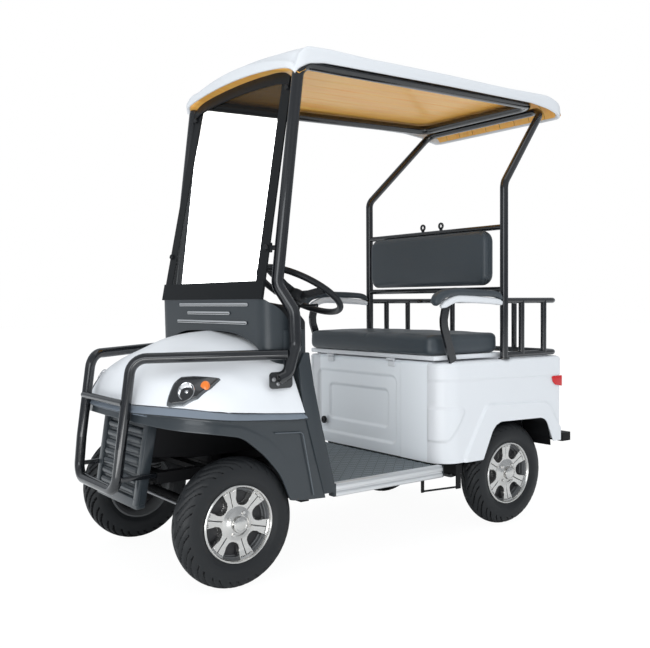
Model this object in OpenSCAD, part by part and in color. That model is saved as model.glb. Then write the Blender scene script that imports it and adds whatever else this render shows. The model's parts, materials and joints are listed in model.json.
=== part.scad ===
// Two-seat electric utility cart with a canopy, a bull bar and a cargo rack.
// +Z is up, the nose points to -Y and the driver sits on the +X side. The origin is on
// the ground, below the middle of the cart.

/* [Wheels] */
// Distance between the axles
wheelbase = 1405; // [1150:1:1750]
// Front axle to the front of the bull bar
front_overhang = 356; // [340:1:480]
// Rear axle to the back of the rear bumper
rear_overhang = 435; // [410:1:560]
// Distance between the front tyre centres
front_track = 810; // [760:1:900]
// Distance between the rear tyre centres
rear_track = 800; // [760:1:900]
// Outside diameter of a tyre
tyre_d = 460; // [420:1:480]
// Width of a tyre at its widest
tyre_w = 108; // [90:1:125]
// Diameter over the rim flanges
rim_d = 276; // [240:1:300]
// Width over the rim flanges
rim_w = 94; // [80:1:110]
// Number of rim spokes
spoke_count = 6; // [5:1:8]
// Tyre centre to its kingpin, measured inwards
kingpin_offset = 75; // [65:1:90]
// Radius of the wheel spindles
spindle_r = 14; // [11:0.5:16]
// Length of the steering arms
steer_arm = 110; // [80:1:120]

/* [Body] */
// Width across the rear body
body_w = 956; // [880:1:1100]
// Wall of the moulded body panels
skin_t = 4; // [3:0.5:6]
// Top of the floor above the ground
floor_h = 310; // [290:1:340]
// Thickness of the floor pan
pan_t = 4; // [3:0.5:6]
// Thickness of the floor mat
mat_t = 8; // [4:1:12]
// Top of the rear body above the ground
body_top = 745; // [680:1:820]
// Length of the rear body along its top
rear_body_len = 770; // [700:1:900]
// Rear axle to the back of the rear body
body_tail = 330; // [310:1:380]
// Length of the cargo tub
tub_len = 335; // [300:1:360]
// Depth of the cargo tub
tub_depth = 180; // [120:1:190]

/* [Seat] */
// Thickness of the seat cushion
cushion_t = 88; // [60:1:120]
// Front to back of the seat cushion
cushion_len = 425; // [340:1:430]
// Gap from the cushion to the armrests
cushion_gap = 6; // [5.5:0.5:20]
// Height of the backrest pad
backrest_h = 224; // [160:1:250]
// Thickness of the backrest pad
backrest_t = 55; // [35:1:70]
// Width of the backrest pad
backrest_w = 790; // [600:1:820]
// Width of an armrest pad
armrest_w = 44; // [36:1:52]

/* [Canopy] */
// Height of the roof's crown above the ground
roof_top = 1990; // [1800:1:2300]
// Width of the roof
roof_w = 872; // [780:1:900]
// Front axle to the front edge of the roof
roof_front = 250; // [220:1:280]
// Rear axle to the back edge of the roof
roof_tail = 415; // [380:1:440]
// Outside diameter of the front canopy tubes
tube_d = 45; // [32:1:48]
// Outside diameter of the rear canopy tubes
pillar_d = 36; // [28:1:40]
// Outside diameter of the bull bar tubes
bar_d = 38; // [32:1:42]
// Outside diameter of the rack tubes
rack_d = 25; // [19:1:28]
// Height of the cargo rack above the rear body
rack_h = 258; // [180:1:320]
// Width of the windscreen at its foot
glass_w = 800; // [700:1:820]
// Width of the windscreen at its head
glass_head_w = 736; // [640:1:760]
// Thickness of the windscreen
glass_t = 5; // [4:0.5:6]

/* [Hidden] */
$fn = 48;

overall_len = front_overhang + wheelbase + rear_overhang;
front_axle_y = front_overhang - overall_len / 2;
rear_axle_y = front_axle_y + wheelbase;
wheel_r = tyre_d / 2;
body_x = body_w / 2;
tube_r = tube_d / 2;
pillar_r = pillar_d / 2;
bar_r = bar_d / 2;
rack_r = rack_d / 2;

// stations along the cart, measured back from the front or the rear axle
function front(s) = front_axle_y + s;
function rear(s) = rear_axle_y + s;

// clearances
run_gap = 0.05;
side_gap = 1;

// running gear
king_x = front_track / 2 - kingpin_offset;
king_r = 10;
hub_r = 38;
rim_wall = 6;
bead_r = rim_d / 2 - 10;
axle_h = wheel_r;
yoke_half = 48;
yoke_ear = 12;
sleeve_r = 17;
arm_z = axle_h + 36;
ball_r = 8;

// frame
rail_x = 190;
rail_s = 40;
rail_top = floor_h - pan_t;
high_rail_top = 395;
cab_front = front(300);
body_front = rear(body_tail - rear_body_len);
body_back = rear(body_tail);
body_low = floor_h + mat_t + 4;
mat_top = floor_h + mat_t;
tow_pin_r = 8;

// rear body
lid_t = 28;
lid_gap = 3;
hinge_pin_r = 3;
hinge_at = [0, body_front - 7, body_top + 1];
hinge_places = [-284, 156];
tub_back = body_back - skin_t;
tub_front = tub_back - tub_len;
tub_floor = body_top - tub_depth;
tub_x = body_x - 24;
well_x = rear_track / 2 - tyre_w / 2 - 30;
arm_x = body_x - 17;
near_r = 95;
far_r = 45;
tail_r = 45;
cushion_w = 2 * (arm_x - armrest_w / 2 - cushion_gap);
cushion_front = body_front - 30;

// canopy
b_x = body_x - 17;
b_y = rear(-48);
b_bend_z = 1520;
b_top = [378, rear(311), roof_top - 90];
loop_top = [359, rear(258), roof_top - 70];
a_x = glass_w / 2;
a_low = [a_x, front(197), 1064];
a_top = [a_x, front(300), roof_top - 106];
a_elbow = [a_x + 50, front(247), 968];
a_down = [a_x + 55, front(250), 845];
a_foot = [a_x + 68, front(190), 735];

module tube(a, b, r) {
    // straight round bar from point a to point b
    v = b - a;
    len = norm(v);
    tilt = acos(v.z / len);
    turn = atan2(v.y, v.x);
    translate(a) rotate([0, tilt, turn]) cylinder(h = len, r = r);
}

function unit(v) = v / norm(v);
function corner_angle(a, b, c) = acos(max(-1, min(1, unit(b - a) * unit(c - b))));
function setback(a, b, c, bend) = bend * tan(corner_angle(a, b, c) / 2);

module elbow(a, b, c, r, bend) {
    // bend of the bar at corner b, between its straight runs from a and to c
    angle = corner_angle(a, b, c);
    way_in = unit(b - a);
    way_out = unit(c - b);
    start = b - way_in * setback(a, b, c, bend);
    middle = b + unit(way_out - way_in) * (bend / cos(angle / 2));
    spoke = unit(start - middle);
    axis = cross(spoke, way_in);
    multmatrix([[spoke.x, way_in.x, axis.x, middle.x],
                [spoke.y, way_in.y, axis.y, middle.y],
                [spoke.z, way_in.z, axis.z, middle.z],
                [0, 0, 0, 1]])
        rotate_extrude(angle = angle) translate([bend, 0]) circle(r = r);
}

module bent_tube(points, r, bend) {
    // round bar through square corners, each rounded to the bend radius
    last = len(points) - 1;
    trims = [for (i = [0:last]) i == 0 || i == last ? 0
        : setback(points[i - 1], points[i], points[i + 1], bend)];
    for (i = [0:last - 1]) {
        way = unit(points[i + 1] - points[i]);
        tube(points[i] + way * trims[i], points[i + 1] - way * trims[i + 1], r);
    }
    for (i = [1:last - 1]) elbow(points[i - 1], points[i], points[i + 1], r, bend);
}

// points along one rounded corner
function arc_points(a, b, c, bend, steps) =
    let (angle = corner_angle(a, b, c), way_in = unit(b - a), way_out = unit(c - b),
        start = b - way_in * setback(a, b, c, bend),
        middle = b + unit(way_out - way_in) * (bend / cos(angle / 2)),
        spoke = unit(start - middle))
    [for (i = [0:steps]) let (t = angle * i / steps) middle + (spoke * cos(t) + way_in * sin(t)) * bend];

// the whole line with its corners rounded
function rounded_line(points, bend, steps = 4) = concat([points[0]],
    [for (i = [1:len(points) - 2]) each arc_points(points[i - 1], points[i], points[i + 1], bend, steps)],
    [points[len(points) - 1]]);

// direction of the line at each of its points
function headings(line) = let (last = len(line) - 1) [for (i = [0:last])
    unit(i == 0 ? line[1] - line[0] : i == last ? line[last] - line[last - 1]
        : unit(line[i] - line[i - 1]) + unit(line[i + 1] - line[i]))];

// sideways directions carried along the line without twist
function carried(ways, i, side) = let (n = unit(side - ways[i] * (side * ways[i])))
    i == len(ways) - 1 ? [n] : concat([n], carried(ways, i + 1, n));

module swept_tube(points, r, bend, sides = 12) {
    // bar whose bends lie at any slant
    line = rounded_line(points, bend);
    ways = headings(line);
    across_way = carried(ways, 0, abs(ways[0].x) < 0.9 ? [1, 0, 0] : [0, 0, 1]);
    rings = [for (i = [0:len(line) - 1]) let (u = across_way[i], v = cross(ways[i], u))
        for (k = [0:sides - 1]) line[i] + (u * cos(360 * k / sides) + v * sin(360 * k / sides)) * r];
    last = len(line) - 1;
    polyhedron(rings, concat(
        [[for (k = [0:sides - 1]) k]],
        [for (i = [0:last - 1]) for (k = [0:sides - 1]) let (m = (k + 1) % sides)
            [i * sides + m, i * sides + k, (i + 1) * sides + k, (i + 1) * sides + m]],
        [[for (k = [sides - 1:-1:0]) last * sides + k]]));
}

function across(points) = concat(points,
    [for (i = [len(points) - 1:-1:0]) [-points[i].x, points[i].y, points[i].z]]);

module both_sides() {
    // the piece and its mirror image across the middle of the cart
    children();
    mirror([1, 0, 0]) children();
}

module side_plate(points, x0, x1) {
    // outline drawn in (y, z), made into a plate between two x places
    translate([x0, 0, 0]) rotate([90, 0, 90]) linear_extrude(x1 - x0) polygon(points);
}

module block(low, high) {
    translate(low) cube(high - low);
}

// outline of a rounded box on the ground plan, as points
function rounded_rect(x0, y0, x1, y1, r, steps = 6) = [
    for (q = [[x1 - r, y1 - r, 0], [x0 + r, y1 - r, 90], [x0 + r, y0 + r, 180], [x1 - r, y0 + r, 270]])
        for (i = [0:steps]) [q.x + r * cos(q.z + 90 * i / steps), q.y + r * sin(q.z + 90 * i / steps)]];

// ---- frame and floor ----

module main_frame() {
    stay_x = body_x - 31;
    color("dimgray") {
        // low rails below the floor, high rails over both axles
        both_sides() {
            block([rail_x - rail_s / 2, front(240), rail_top - rail_s],
                  [rail_x + rail_s / 2, rear(-160), rail_top]);
            block([rail_x - rail_s / 2, front(-190), high_rail_top - rail_s],
                  [rail_x + rail_s / 2, front(280), high_rail_top]);
            block([rail_x - rail_s / 2, front(240), rail_top - rail_s],
                  [rail_x + rail_s / 2, front(280), high_rail_top - 1]);
            block([rail_x - rail_s / 2, rear(-200), high_rail_top - rail_s],
                  [rail_x + rail_s / 2, rear(290), high_rail_top]);
            block([rail_x - rail_s / 2, rear(-200), rail_top - rail_s],
                  [rail_x + rail_s / 2, rear(-160), high_rail_top - 1]);
            block([rail_x - rail_s / 2, rear(250), 333], [rail_x + rail_s / 2, rear(290), 360]);
            // stay and rod of the hand brake
            block([stay_x - 3, front(868), 216], [stay_x + 3, front(882), rail_top - 2]);
            block([stay_x - 3, front(1070), 204], [stay_x + 3, front(1096), rail_top - 2]);
            tube([stay_x, front(875), 221], [stay_x, front(1083), 212], 4);
        }
        for (y = [front(262), front(860), front(1066)])
            block([-body_x + 28, y, rail_top - rail_s + 2], [body_x - 28, y + 36, rail_top]);
        block([-272, front(-20), high_rail_top - 18], [272, front(20), high_rail_top - 1]);
        for (y = [front(-188), rear(252)])
            block([-rail_x, y, high_rail_top - rail_s + 2], [rail_x, y + 36, high_rail_top - 2]);
    }
}

module floor_pan() {
    // floor with the toe board rising in front of it
    color("dimgray") {
        block([-body_x + 12, cab_front + 4, floor_h - pan_t], [body_x - 12, body_front - 1, floor_h]);
        side_plate([[front(362), floor_h - 1], [front(290), 660], [front(290) + pan_t, 660],
            [front(362) + pan_t, floor_h - 1]], -body_x + 26, body_x - 26);
    }
}

module floor_mat() {
    color("slategray")
        block([-body_x + 22, front(375), floor_h], [body_x - 22, body_front - 8, mat_top]);
}

module side_sills() {
    // ribbed aluminium strips along both sides of the floor
    sill_low = floor_h - 36;
    sill_t = 10;
    color("silver") both_sides() difference() {
        block([body_x - 12, front(405), sill_low], [body_x - 12 + sill_t, body_front - 2, mat_top + 3]);
        for (i = [0:1])
            block([body_x - 12 + sill_t - 2, front(404), sill_low + 8 + 18 * i],
                  [body_x - 12 + sill_t + 1, body_front - 1, sill_low + 16 + 18 * i]);
    }
}

// ---- nose ----

// unit vector square to the grid of points at row i, column j
function grid_normal(grid, i, j) = let (rows = len(grid) - 1, columns = len(grid[0]) - 1)
    unit(cross(grid[i][min(columns, j + 1)] - grid[i][max(0, j - 1)],
        grid[min(rows, i + 1)][j] - grid[max(0, i - 1)][j]));

function lifted(grid, lift) = [for (i = [0:len(grid) - 1]) for (j = [0:len(grid[0]) - 1])
    grid[i][j] + grid_normal(grid, i, j) * lift];

module grid_panel(grid, low, high) {
    // curved panel between two offsets from a grid of points, rows going backwards or up
    rows = len(grid) - 1;
    columns = len(grid[0]) - 1;
    n = columns + 1;
    under = n * (rows + 1);
    polyhedron(concat(lifted(grid, high), lifted(grid, low)), concat(
        [for (i = [0:rows - 1]) for (j = [0:columns - 1]) let (a = i * n + j)
            each [[a, a + n, a + n + 1], [a, a + n + 1, a + 1]]],
        [for (i = [0:rows - 1]) for (j = [0:columns - 1]) let (b = under + i * n + j)
            each [[b, b + n + 1, b + n], [b, b + 1, b + n + 1]]],
        [for (j = [0:columns - 1]) let (a = j, b = under + j)
            each [[a, a + 1, b + 1], [a, b + 1, b]]],
        [for (j = [0:columns - 1]) let (a = rows * n + j, b = under + rows * n + j)
            each [[a + 1, a, b], [a + 1, b, b + 1]]],
        [for (i = [0:rows - 1]) let (a = i * n, b = under + i * n)
            each [[a + n, a, b], [a + n, b, b + n]]],
        [for (i = [0:rows - 1]) let (a = i * n + columns, b = under + i * n + columns)
            each [[a, a + n, b + n], [a, b + n, b]]]));
}

// a row given from the middle to the +X side, made whole; points are (x, station, z)
function whole_row(half) = concat(
    [for (k = [len(half) - 1:-1:1]) [-half[k].x, front(half[k].y), half[k].z]],
    [for (p = half) [p.x, front(p.y), p.z]]);

side_x = body_x;
hood_rows = [
    [[0, -280, 642], [130, -275, 642], [245, -252, 645], [330, -222, 646],
        [402, -176, 643], [452, -112, 634], [side_x - 6, -50, 627]],
    [[0, -266, 695], [130, -258, 693], [238, -234, 690], [328, -196, 684],
        [404, -145, 672], [454, -84, 652], [side_x - 3, -28, 625]],
    [[0, -243, 750], [130, -232, 744], [228, -207, 732], [320, -163, 718],
        [400, -104, 700], [454, -45, 668], [side_x, 0, 622]],
    [[0, -192, 795], [128, -182, 783], [218, -158, 762], [307, -106, 745],
        [392, -45, 722], [453, 5, 680], [side_x, 42, 618]],
    [[0, -124, 832], [126, -114, 812], [214, -90, 788], [302, -44, 764],
        [390, 10, 738], [452, 52, 690], [side_x, 92, 613]],
    [[0, -44, 866], [126, -34, 836], [214, -10, 816], [300, 26, 790],
        [388, 74, 750], [450, 110, 700], [side_x, 142, 609]],
    [[0, 60, 884], [126, 64, 866], [214, 78, 850], [300, 102, 826],
        [386, 138, 776], [445, 165, 712], [side_x, 192, 605]],
    [[0, 208, 894], [126, 208, 882], [214, 209, 872], [300, 211, 857],
        [386, 218, 826], [437, 226, 766], [side_x, 264, 600]]];
hood_grid = [for (row = hood_rows) whole_row(row)];

module hood() {
    // bonnet and upper wings in one moulding
    color("white") grid_panel(hood_grid, -skin_t, 0);
}

module headlamps() {
    // lamp lenses lying on the wings, on both sides
    color("black") for (first = [1, 9])
        grid_panel([for (i = [0:3]) [for (j = [first:first + 2]) hood_grid[i][j]]], 0.8, 8);
}

// stations along the edge of the wing, from the middle of the nose round to its rear:
// top (x, station, z), then bottom (x, station, z)
fender_edge = [
    [[0, -293, 636], [0, -301, 588]], [[130, -289, 636], [130, -297, 588]],
    [[250, -264, 638], [252, -271, 580]], [[338, -236, 639], [342, -242, 573]],
    [[410, -188, 636], [416, -192, 565]], [[460, -120, 628], [464, -122, 556]],
    [[side_x, -56, 620], [side_x, -56, 545]], [[side_x, 6, 614], [side_x, 2, 530]],
    [[side_x, 60, 610], [side_x, 58, 490]], [[side_x, 104, 607], [side_x, 104, 448]],
    [[side_x, 144, 604], [side_x, 160, 380]], [[side_x, 178, 601], [side_x, 205, 302]],
    [[side_x, 200, 600], [side_x, 212, 288]], [[side_x, 236, 598], [side_x, 285, 280]],
    [[side_x, 268, 596], [side_x, 366, 276]]];
fender_grid = concat(
    [for (t = [1, 0.72, 0.44, 0.16]) whole_row([for (e = fender_edge) e[0] + (e[1] - e[0]) * t])],
    [whole_row([for (e = fender_edge) e[0] - [min(4, e[0].x), 0, 3]])]);

module front_fender() {
    // grey lower wings and the band across the nose, open below
    color([0.27, 0.3, 0.33]) grid_panel(fender_grid, -skin_t, 0);
}

module nose_grille() {
    // slotted grille hung below the band, leaning forward at its foot
    slot_count = 6;
    slot_pitch = 36;
    grille_x = 192;
    wall = 5;
    face_top = [front(-214), 572];
    face_low = [front(-258), 300];
    color([0.27, 0.3, 0.33]) difference() {
        side_plate([face_top, face_low, face_low + [22, -26], face_low + [34, -26],
            face_low + [38, 10], face_top + [30, 0]], -grille_x, grille_x);
        side_plate([face_top + [wall, 5], face_low + [wall, 0], face_low + [50, -8], face_top + [50, 5]],
            -grille_x + wall, grille_x - wall);
        for (i = [0:slot_count - 1])
            translate([0, 0, 330 + slot_pitch * i]) block([-150, front(-300), 0], [150, front(-190), 15]);
    }
}

module bull_bar() {
    loop_x = 185;
    front_y = -overall_len / 2 + bar_r;
    color([0.06, 0.06, 0.07]) {
        swept_tube(across([[a_down.x + 1, front(194), 813], [loop_x, front(-276), 805],
            [loop_x, front(-320), 490], [loop_x - 7, front_y, 340]]), bar_r, 60);
        tube([-loop_x, front(-309), 650], [loop_x, front(-309), 650], 12);
        both_sides() {
            block([174, front_y - 6, 377], [207, front(-304), 393]);
            block([196, front(-306), 377], [207, front(-192), 393]);
        }
    }
}

module scuttle_trims() {
    // dark strips from the wings down to the sills
    color([0.12, 0.13, 0.15]) both_sides()
        side_plate([[front(272), 740], [front(264), 740], [front(292), 590], [front(374), 324],
            [front(396), 324], [front(330), 568]], body_x - 20, body_x - 6);
}

// ---- canopy ----

module canopy_foot() {
    // foot plate bolted to the wing
    difference() {
        block([a_foot.x - 4, front(118), 694], [a_foot.x + 4, front(212), 752]);
        for (y = [front(134), front(160)])
            translate([a_foot.x - 20, y, 722]) rotate([0, 90, 0]) cylinder(h = 60, r = 4.5);
    }
}

module roof_frame() {
    color([0.06, 0.06, 0.07]) {
        swept_tube(across([a_foot, a_down, a_elbow, a_low, a_top, loop_top]), tube_r, 45);
        both_sides() canopy_foot();
    }
}

module rear_frame() {
    lower_z = 1052;
    upper_z = 1328;
    foot_z = body_top + 4;
    color([0.06, 0.06, 0.07]) {
        both_sides() {
            translate([b_x, b_y, body_top + 0.2]) cylinder(h = 5, r = pillar_r + 7);
        }
        swept_tube(across([[b_x, b_y, foot_z], [b_x, b_y, b_bend_z], b_top]), pillar_r, 60);
        for (z = [lower_z, upper_z]) tube([-b_x, b_y, z], [b_x, b_y, z], rack_r);
        // two eyes on the upper crossbar
        for (x = [-54, 70]) difference() {
            block([x - 9, b_y - 3, upper_z + rack_r - 3], [x + 9, b_y + 3, upper_z + rack_r + 32]);
            translate([x, b_y - 10, upper_z + rack_r + 20]) rotate([-90, 0, 0]) cylinder(h = 20, r = 5);
        }
    }
}

roof_t = 5;
// heights along the roof from its front edge to its back edge, taken from the crown
crown_line = [[0, -60], [0.05, -40], [0.13, -20], [0.29, -6], [0.51, 0], [0.73, -1], [0.86, -6], [0.94, -18],
    [1, -50]];
edge_drop = [[0, 3], [0.05, 6], [0.13, 20], [0.24, 34], [0.74, 34], [0.86, 24], [0.92, 12], [1, 8]];
rim_line = [[0, -152], [0.012, -136], [0.045, -110], [0.09, -99], [0.14, -97], [0.51, -87], [0.85, -83],
    [0.93, -95], [1, -123]];
roof_across = [-1, -0.99, -0.96, -0.88, -0.7, -0.45, -0.2, 0, 0.2, 0.45, 0.7, 0.88, 0.96, 0.99, 1];
roof_along = [0, 0.004, 0.02, 0.06, 0.13, 0.25, 0.4, 0.55, 0.7, 0.82, 0.9, 0.95, 0.985, 0.996, 1];
roof_corner = 18;

function roof_point(i, j) = let (u = roof_across[j], v = roof_along[i],
    corner = roof_corner * pow(abs(u), 14) * pow(abs(2 * v - 1), 24),
    is_rim = i == 0 || j == 0 || i == len(roof_along) - 1 || j == len(roof_across) - 1)
    [u * (roof_w / 2 - corner),
        front(roof_front) + v * (rear(roof_tail) - front(roof_front)) - sign(2 * v - 1) * corner,
        roof_top + (i == 0 ? -98 - 36 * u * u - 18 * pow(abs(u), 16)
            : is_rim ? lookup(v, rim_line)
            : lookup(v, crown_line) - lookup(v, edge_drop) * pow(abs(u), 3))];

module roof_shell() {
    // crowned moulding with a turned-down edge all round
    grid = [for (i = [0:len(roof_along) - 1]) [for (j = [0:len(roof_across) - 1]) roof_point(i, j)]];
    color("white") grid_panel(grid, -roof_t, 0);
}

module roof_liner() {
    // planked ceiling resting on the canopy rails
    liner_t = 5;
    front_at = [front(275), roof_top - 81];
    back_at = [rear(315), roof_top - 44];
    color([0.9, 0.7, 0.4])
        side_plate([front_at, back_at, back_at + [0, liner_t], front_at + [0, liner_t]],
            -roof_w / 2 + 20, roof_w / 2 - 20);
}

// outline of the screen in its own plane, drawn in by the margin
function glass_outline(margin, length) = concat(
    [[-glass_w / 2 + margin, margin], [glass_w / 2 - margin, margin]],
    [for (u = [1, 0.92, 0.7, 0.35, 0, -0.35, -0.7, -0.92, -1])
        [u * (glass_head_w / 2 - margin), length - margin - 22 * u * u - 24 * pow(u, 12)]]);

module glass_sheet(margin, low, high) {
    // flat sheet in the sloping plane of the windscreen
    foot = [front(134), 1012];
    rise = [front(300), roof_top - 96] - foot;
    translate([0, foot.x, foot.y]) rotate([atan2(rise.y, rise.x), 0, 0])
        translate([0, 0, low]) linear_extrude(high - low) polygon(glass_outline(margin, norm(rise)));
}

border = 26;

module windscreen() {
    color([0.7, 0.8, 0.85, 0.3]) glass_sheet(border + 0.3, 0, glass_t);
}

module windscreen_border() {
    // painted band round the screen
    color("black") difference() {
        glass_sheet(0, 0, glass_t);
        glass_sheet(border, -5, glass_t + 5);
    }
}

// ---- cabin ----

module cowl_panel() {
    // upright dash front with louvre slots, turned back to the canopy tubes at its ends
    cowl_t = 4;
    bend = [[372, 130], [400, 140], [418, 165], [424, 205]];
    outer = [for (p = bend) [p.x, front(p.y)]];
    inner = [for (k = [3:-1:0]) [bend[k].x - cowl_t * (k > 0 ? 1 : 0), front(bend[k].y)
        + cowl_t * (k < 3 ? 1 : 0)]];
    half = concat(outer, inner);
    color([0.23, 0.25, 0.27]) difference() {
        intersection() {
            translate([0, 0, 780]) linear_extrude(300) polygon(concat(half,
                [for (k = [len(half) - 1:-1:0]) [-half[k].x, half[k].y]]));
            translate([0, front(300), 0]) rotate([90, 0, 0]) linear_extrude(300) polygon([
                [-430, 815], [-380, 850], [-300, 880], [-200, 895], [200, 895], [300, 880], [380, 850],
                [430, 815], [430, 975], [395, 1008], [-395, 1008], [-430, 975]]);
        }
        for (z = [925, 960, 993])
            block([z > 990 ? -236 : z > 950 ? -165 : -256, front(100), z - 4],
                [z == 960 ? 176 : 300, front(160), z + 4]);
    }
}

module dashboard() {
    // hollow moulded dash with parcel openings
    wall = 4;
    half = a_x - 14;
    color([0.1, 0.1, 0.11]) difference() {
        side_plate([[front(146), 900], [front(142), 1006], [front(240), 985], [front(330), 930],
            [front(330), 720], [front(236), 668], [front(236), 900]], -half, half);
        side_plate([[front(150), 904], [front(147), 1001], [front(239), 981], [front(326), 927],
            [front(326), 723], [front(240), 675], [front(240), 904]], -half + wall, half - wall);
        for (x = [-340, -160]) block([x, front(300), 770], [x + 150, front(340), 880]);
        tube(wheel_centre - column_way * 340, wheel_centre, 27);
    }
}

wheel_centre = [180, front(452), 1049];
column_tilt = 60;
column_way = [0, cos(column_tilt), sin(column_tilt)];

module steering_column() {
    color([0.1, 0.1, 0.11]) {
        tube(wheel_centre - column_way * 330, wheel_centre - column_way * 60, 24);
    }
}

module on_column() {
    translate(wheel_centre) rotate([column_tilt - 90, 0, 0]) children();
}

module steering_wheel() {
    ring_r = 178;
    grip_r = 13;
    color([0.08, 0.08, 0.09]) on_column() {
        rotate_extrude() translate([ring_r, 0]) circle(r = grip_r);
        translate([0, 0, -52]) cylinder(h = 56, r = 34);
        for (a = [0, 180, 270]) rotate([0, 0, a])
            translate([0, 0, -8]) linear_extrude(8) polygon([[20, -20], [ring_r - 4, -12],
                [ring_r - 4, 12], [20, 20]]);
    }
}

module pedals() {
    color([0.15, 0.15, 0.16]) for (x = [90, 230]) {
        block([x - 30, front(382), 400], [x + 30, front(390), 462]);
        tube([x, front(322), 660], [x, front(384), 455], 6);
    }
}

// ---- running gear ----

module at_wheel(is_front, side) {
    // wheel centre, with local +Z pointing out of the cart
    x = (is_front ? front_track : rear_track) / 2;
    y = is_front ? front_axle_y : rear_axle_y;
    translate([side * x, y, axle_h]) rotate([0, side * 90, 0]) children();
}

module tyre(is_front, side) {
    half = tyre_w / 2;
    color([0.1, 0.1, 0.11]) at_wheel(is_front, side) rotate_extrude() polygon([
        [bead_r + 0.3, -rim_w / 2 + rim_wall + 0.3], [bead_r + 14, -rim_w / 2 + rim_wall + 0.3],
        [bead_r + 24, -half + 3], [bead_r + 42, -half], [wheel_r - 34, -half + 3],
        [wheel_r - 14, -half + 12], [wheel_r - 3, -half + 30], [wheel_r, 0],
        [wheel_r - 3, half - 30], [wheel_r - 14, half - 12], [wheel_r - 34, half - 3],
        [bead_r + 42, half], [bead_r + 24, half - 3],
        [bead_r + 14, rim_w / 2 - rim_wall - 0.3], [bead_r + 0.3, rim_w / 2 - rim_wall - 0.3]]);
}

module rim(is_front, side) {
    half = rim_w / 2;
    well_r = bead_r - rim_wall;
    disc_z = 14;
    color("silver") at_wheel(is_front, side) difference() {
        union() {
            // barrel with its two flanges
            rotate_extrude() polygon([[well_r, -half], [rim_d / 2, -half], [rim_d / 2,
                -half + rim_wall - 0.3],
                [bead_r, -half + rim_wall - 0.3], [bead_r, half - rim_wall + 0.3],
                [rim_d / 2, half - rim_wall + 0.3], [rim_d / 2, half], [well_r, half]]);
            translate([0, 0, disc_z]) cylinder(h = 12, r = well_r + 1);
            translate([0, 0, -half + 14]) cylinder(h = half + 24, r = hub_r);
        }
        // pockets between the spokes
        for (i = [0:spoke_count - 1]) rotate([0, 0, 360 * (i + 0.5) / spoke_count])
            translate([0, 0, disc_z - 1]) linear_extrude(20) polygon([
                [hub_r + 12, -7], [well_r - 12, -34], [well_r - 5, 0], [well_r - 12, 34], [hub_r + 12, 7]]);
        translate([0, 0, -half]) cylinder(h = 2 * half, r = spindle_r + run_gap);
        // bolt circle for the brake drum
        for (i = [0:3]) rotate([0, 0, 45 + 90 * i])
            translate([hub_r - 11, 0, -half]) cylinder(h = rim_w + 20, r = 4.5);
    }
}

module front_axle() {
    // tube beam with a yoke and a kingpin at each end
    color("dimgray") {
        tube([-king_x + 24, front_axle_y, axle_h], [king_x - 24, front_axle_y, axle_h], 22);
        both_sides() {
            for (z = [axle_h - yoke_half, axle_h + yoke_half - yoke_ear])
                block([king_x - 40, front_axle_y - 20, z], [king_x + 20, front_axle_y + 20, z + yoke_ear]);
            block([king_x - 40, front_axle_y - 20, axle_h - yoke_half],
                [king_x - 24, front_axle_y + 20, axle_h + yoke_half]);
            translate([king_x, front_axle_y, axle_h - yoke_half])
                cylinder(h = 2 * yoke_half, r = king_r - run_gap);
        }
    }
}

module knuckle(side) {
    // sleeve on the kingpin, spindle for the wheel and a steering arm
    sleeve_half = yoke_half - yoke_ear - side_gap;
    spindle_end = front_track / 2 + rim_w / 2 - 6;
    arm_y = front_axle_y - steer_arm;
    color("gray") difference() {
        union() {
            translate([side * king_x, front_axle_y, axle_h - sleeve_half])
                cylinder(h = 2 * sleeve_half, r = sleeve_r);
            tube([side * (king_x + king_r + 2), front_axle_y, axle_h],
                [side * spindle_end, front_axle_y, axle_h], spindle_r);
            tube([side * (king_x + king_r + 2), front_axle_y, axle_h],
                [side * (front_track / 2 - rim_w / 2 + 12), front_axle_y, axle_h], spindle_r + 8);
            block([side * king_x - 9, arm_y, axle_h + 18], [side * king_x + 9,
                front_axle_y - king_r - 2, axle_h + 26]);
            translate([side * king_x, arm_y, axle_h + 18]) cylinder(h = 8, r = 14);
            translate([side * king_x, arm_y, axle_h + 18]) cylinder(h = 40, r = ball_r);
        }
        translate([side * king_x, front_axle_y, axle_h - yoke_half])
            cylinder(h = 2 * yoke_half, r = king_r);
    }
}

module tie_rod() {
    arm_y = front_axle_y - steer_arm;
    rod_z = axle_h + 42;
    eye_r = 15;
    color("silver") difference() {
        union() {
            tube([-king_x + 6, arm_y, rod_z], [king_x - 6, arm_y, rod_z], 7);
            for (side = [-1, 1]) translate([side * king_x, arm_y, rod_z - 8]) cylinder(h = 16, r = eye_r);
        }
        translate([king_x, arm_y, rod_z - 20]) cylinder(h = 40, r = ball_r + run_gap);
        // the open pivot of the linkage has more room
        translate([-king_x, arm_y, rod_z - 20]) cylinder(h = 40, r = ball_r + 0.8);
    }
}

spring_x = 262;

module leaf_spring(axle_y, length) {
    // three leaves in an arc below the rail, eyes at both ends
    leaf_t = 6;
    sag = 40;
    arc_r = (length * length / 4 + sag * sag) / (2 * sag);
    half_angle = asin(length / 2 / arc_r);
    for (i = [0:2])
        translate([spring_x - 22, axle_y, axle_h - 34 + arc_r - leaf_t * i])
            rotate([90, 0, 90]) rotate([0, 0, -90 - half_angle * (1 - 0.3 * i)])
                rotate_extrude(angle = 2 * half_angle * (1 - 0.3 * i))
                    translate([arc_r, 0]) square([leaf_t - 0.3, 44]);
    for (y = [-length / 2, length / 2])
        translate([spring_x - 22, axle_y + y, axle_h - 34 + sag]) rotate([0, 90, 0]) cylinder(h = 44, r = 14);
}

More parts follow.
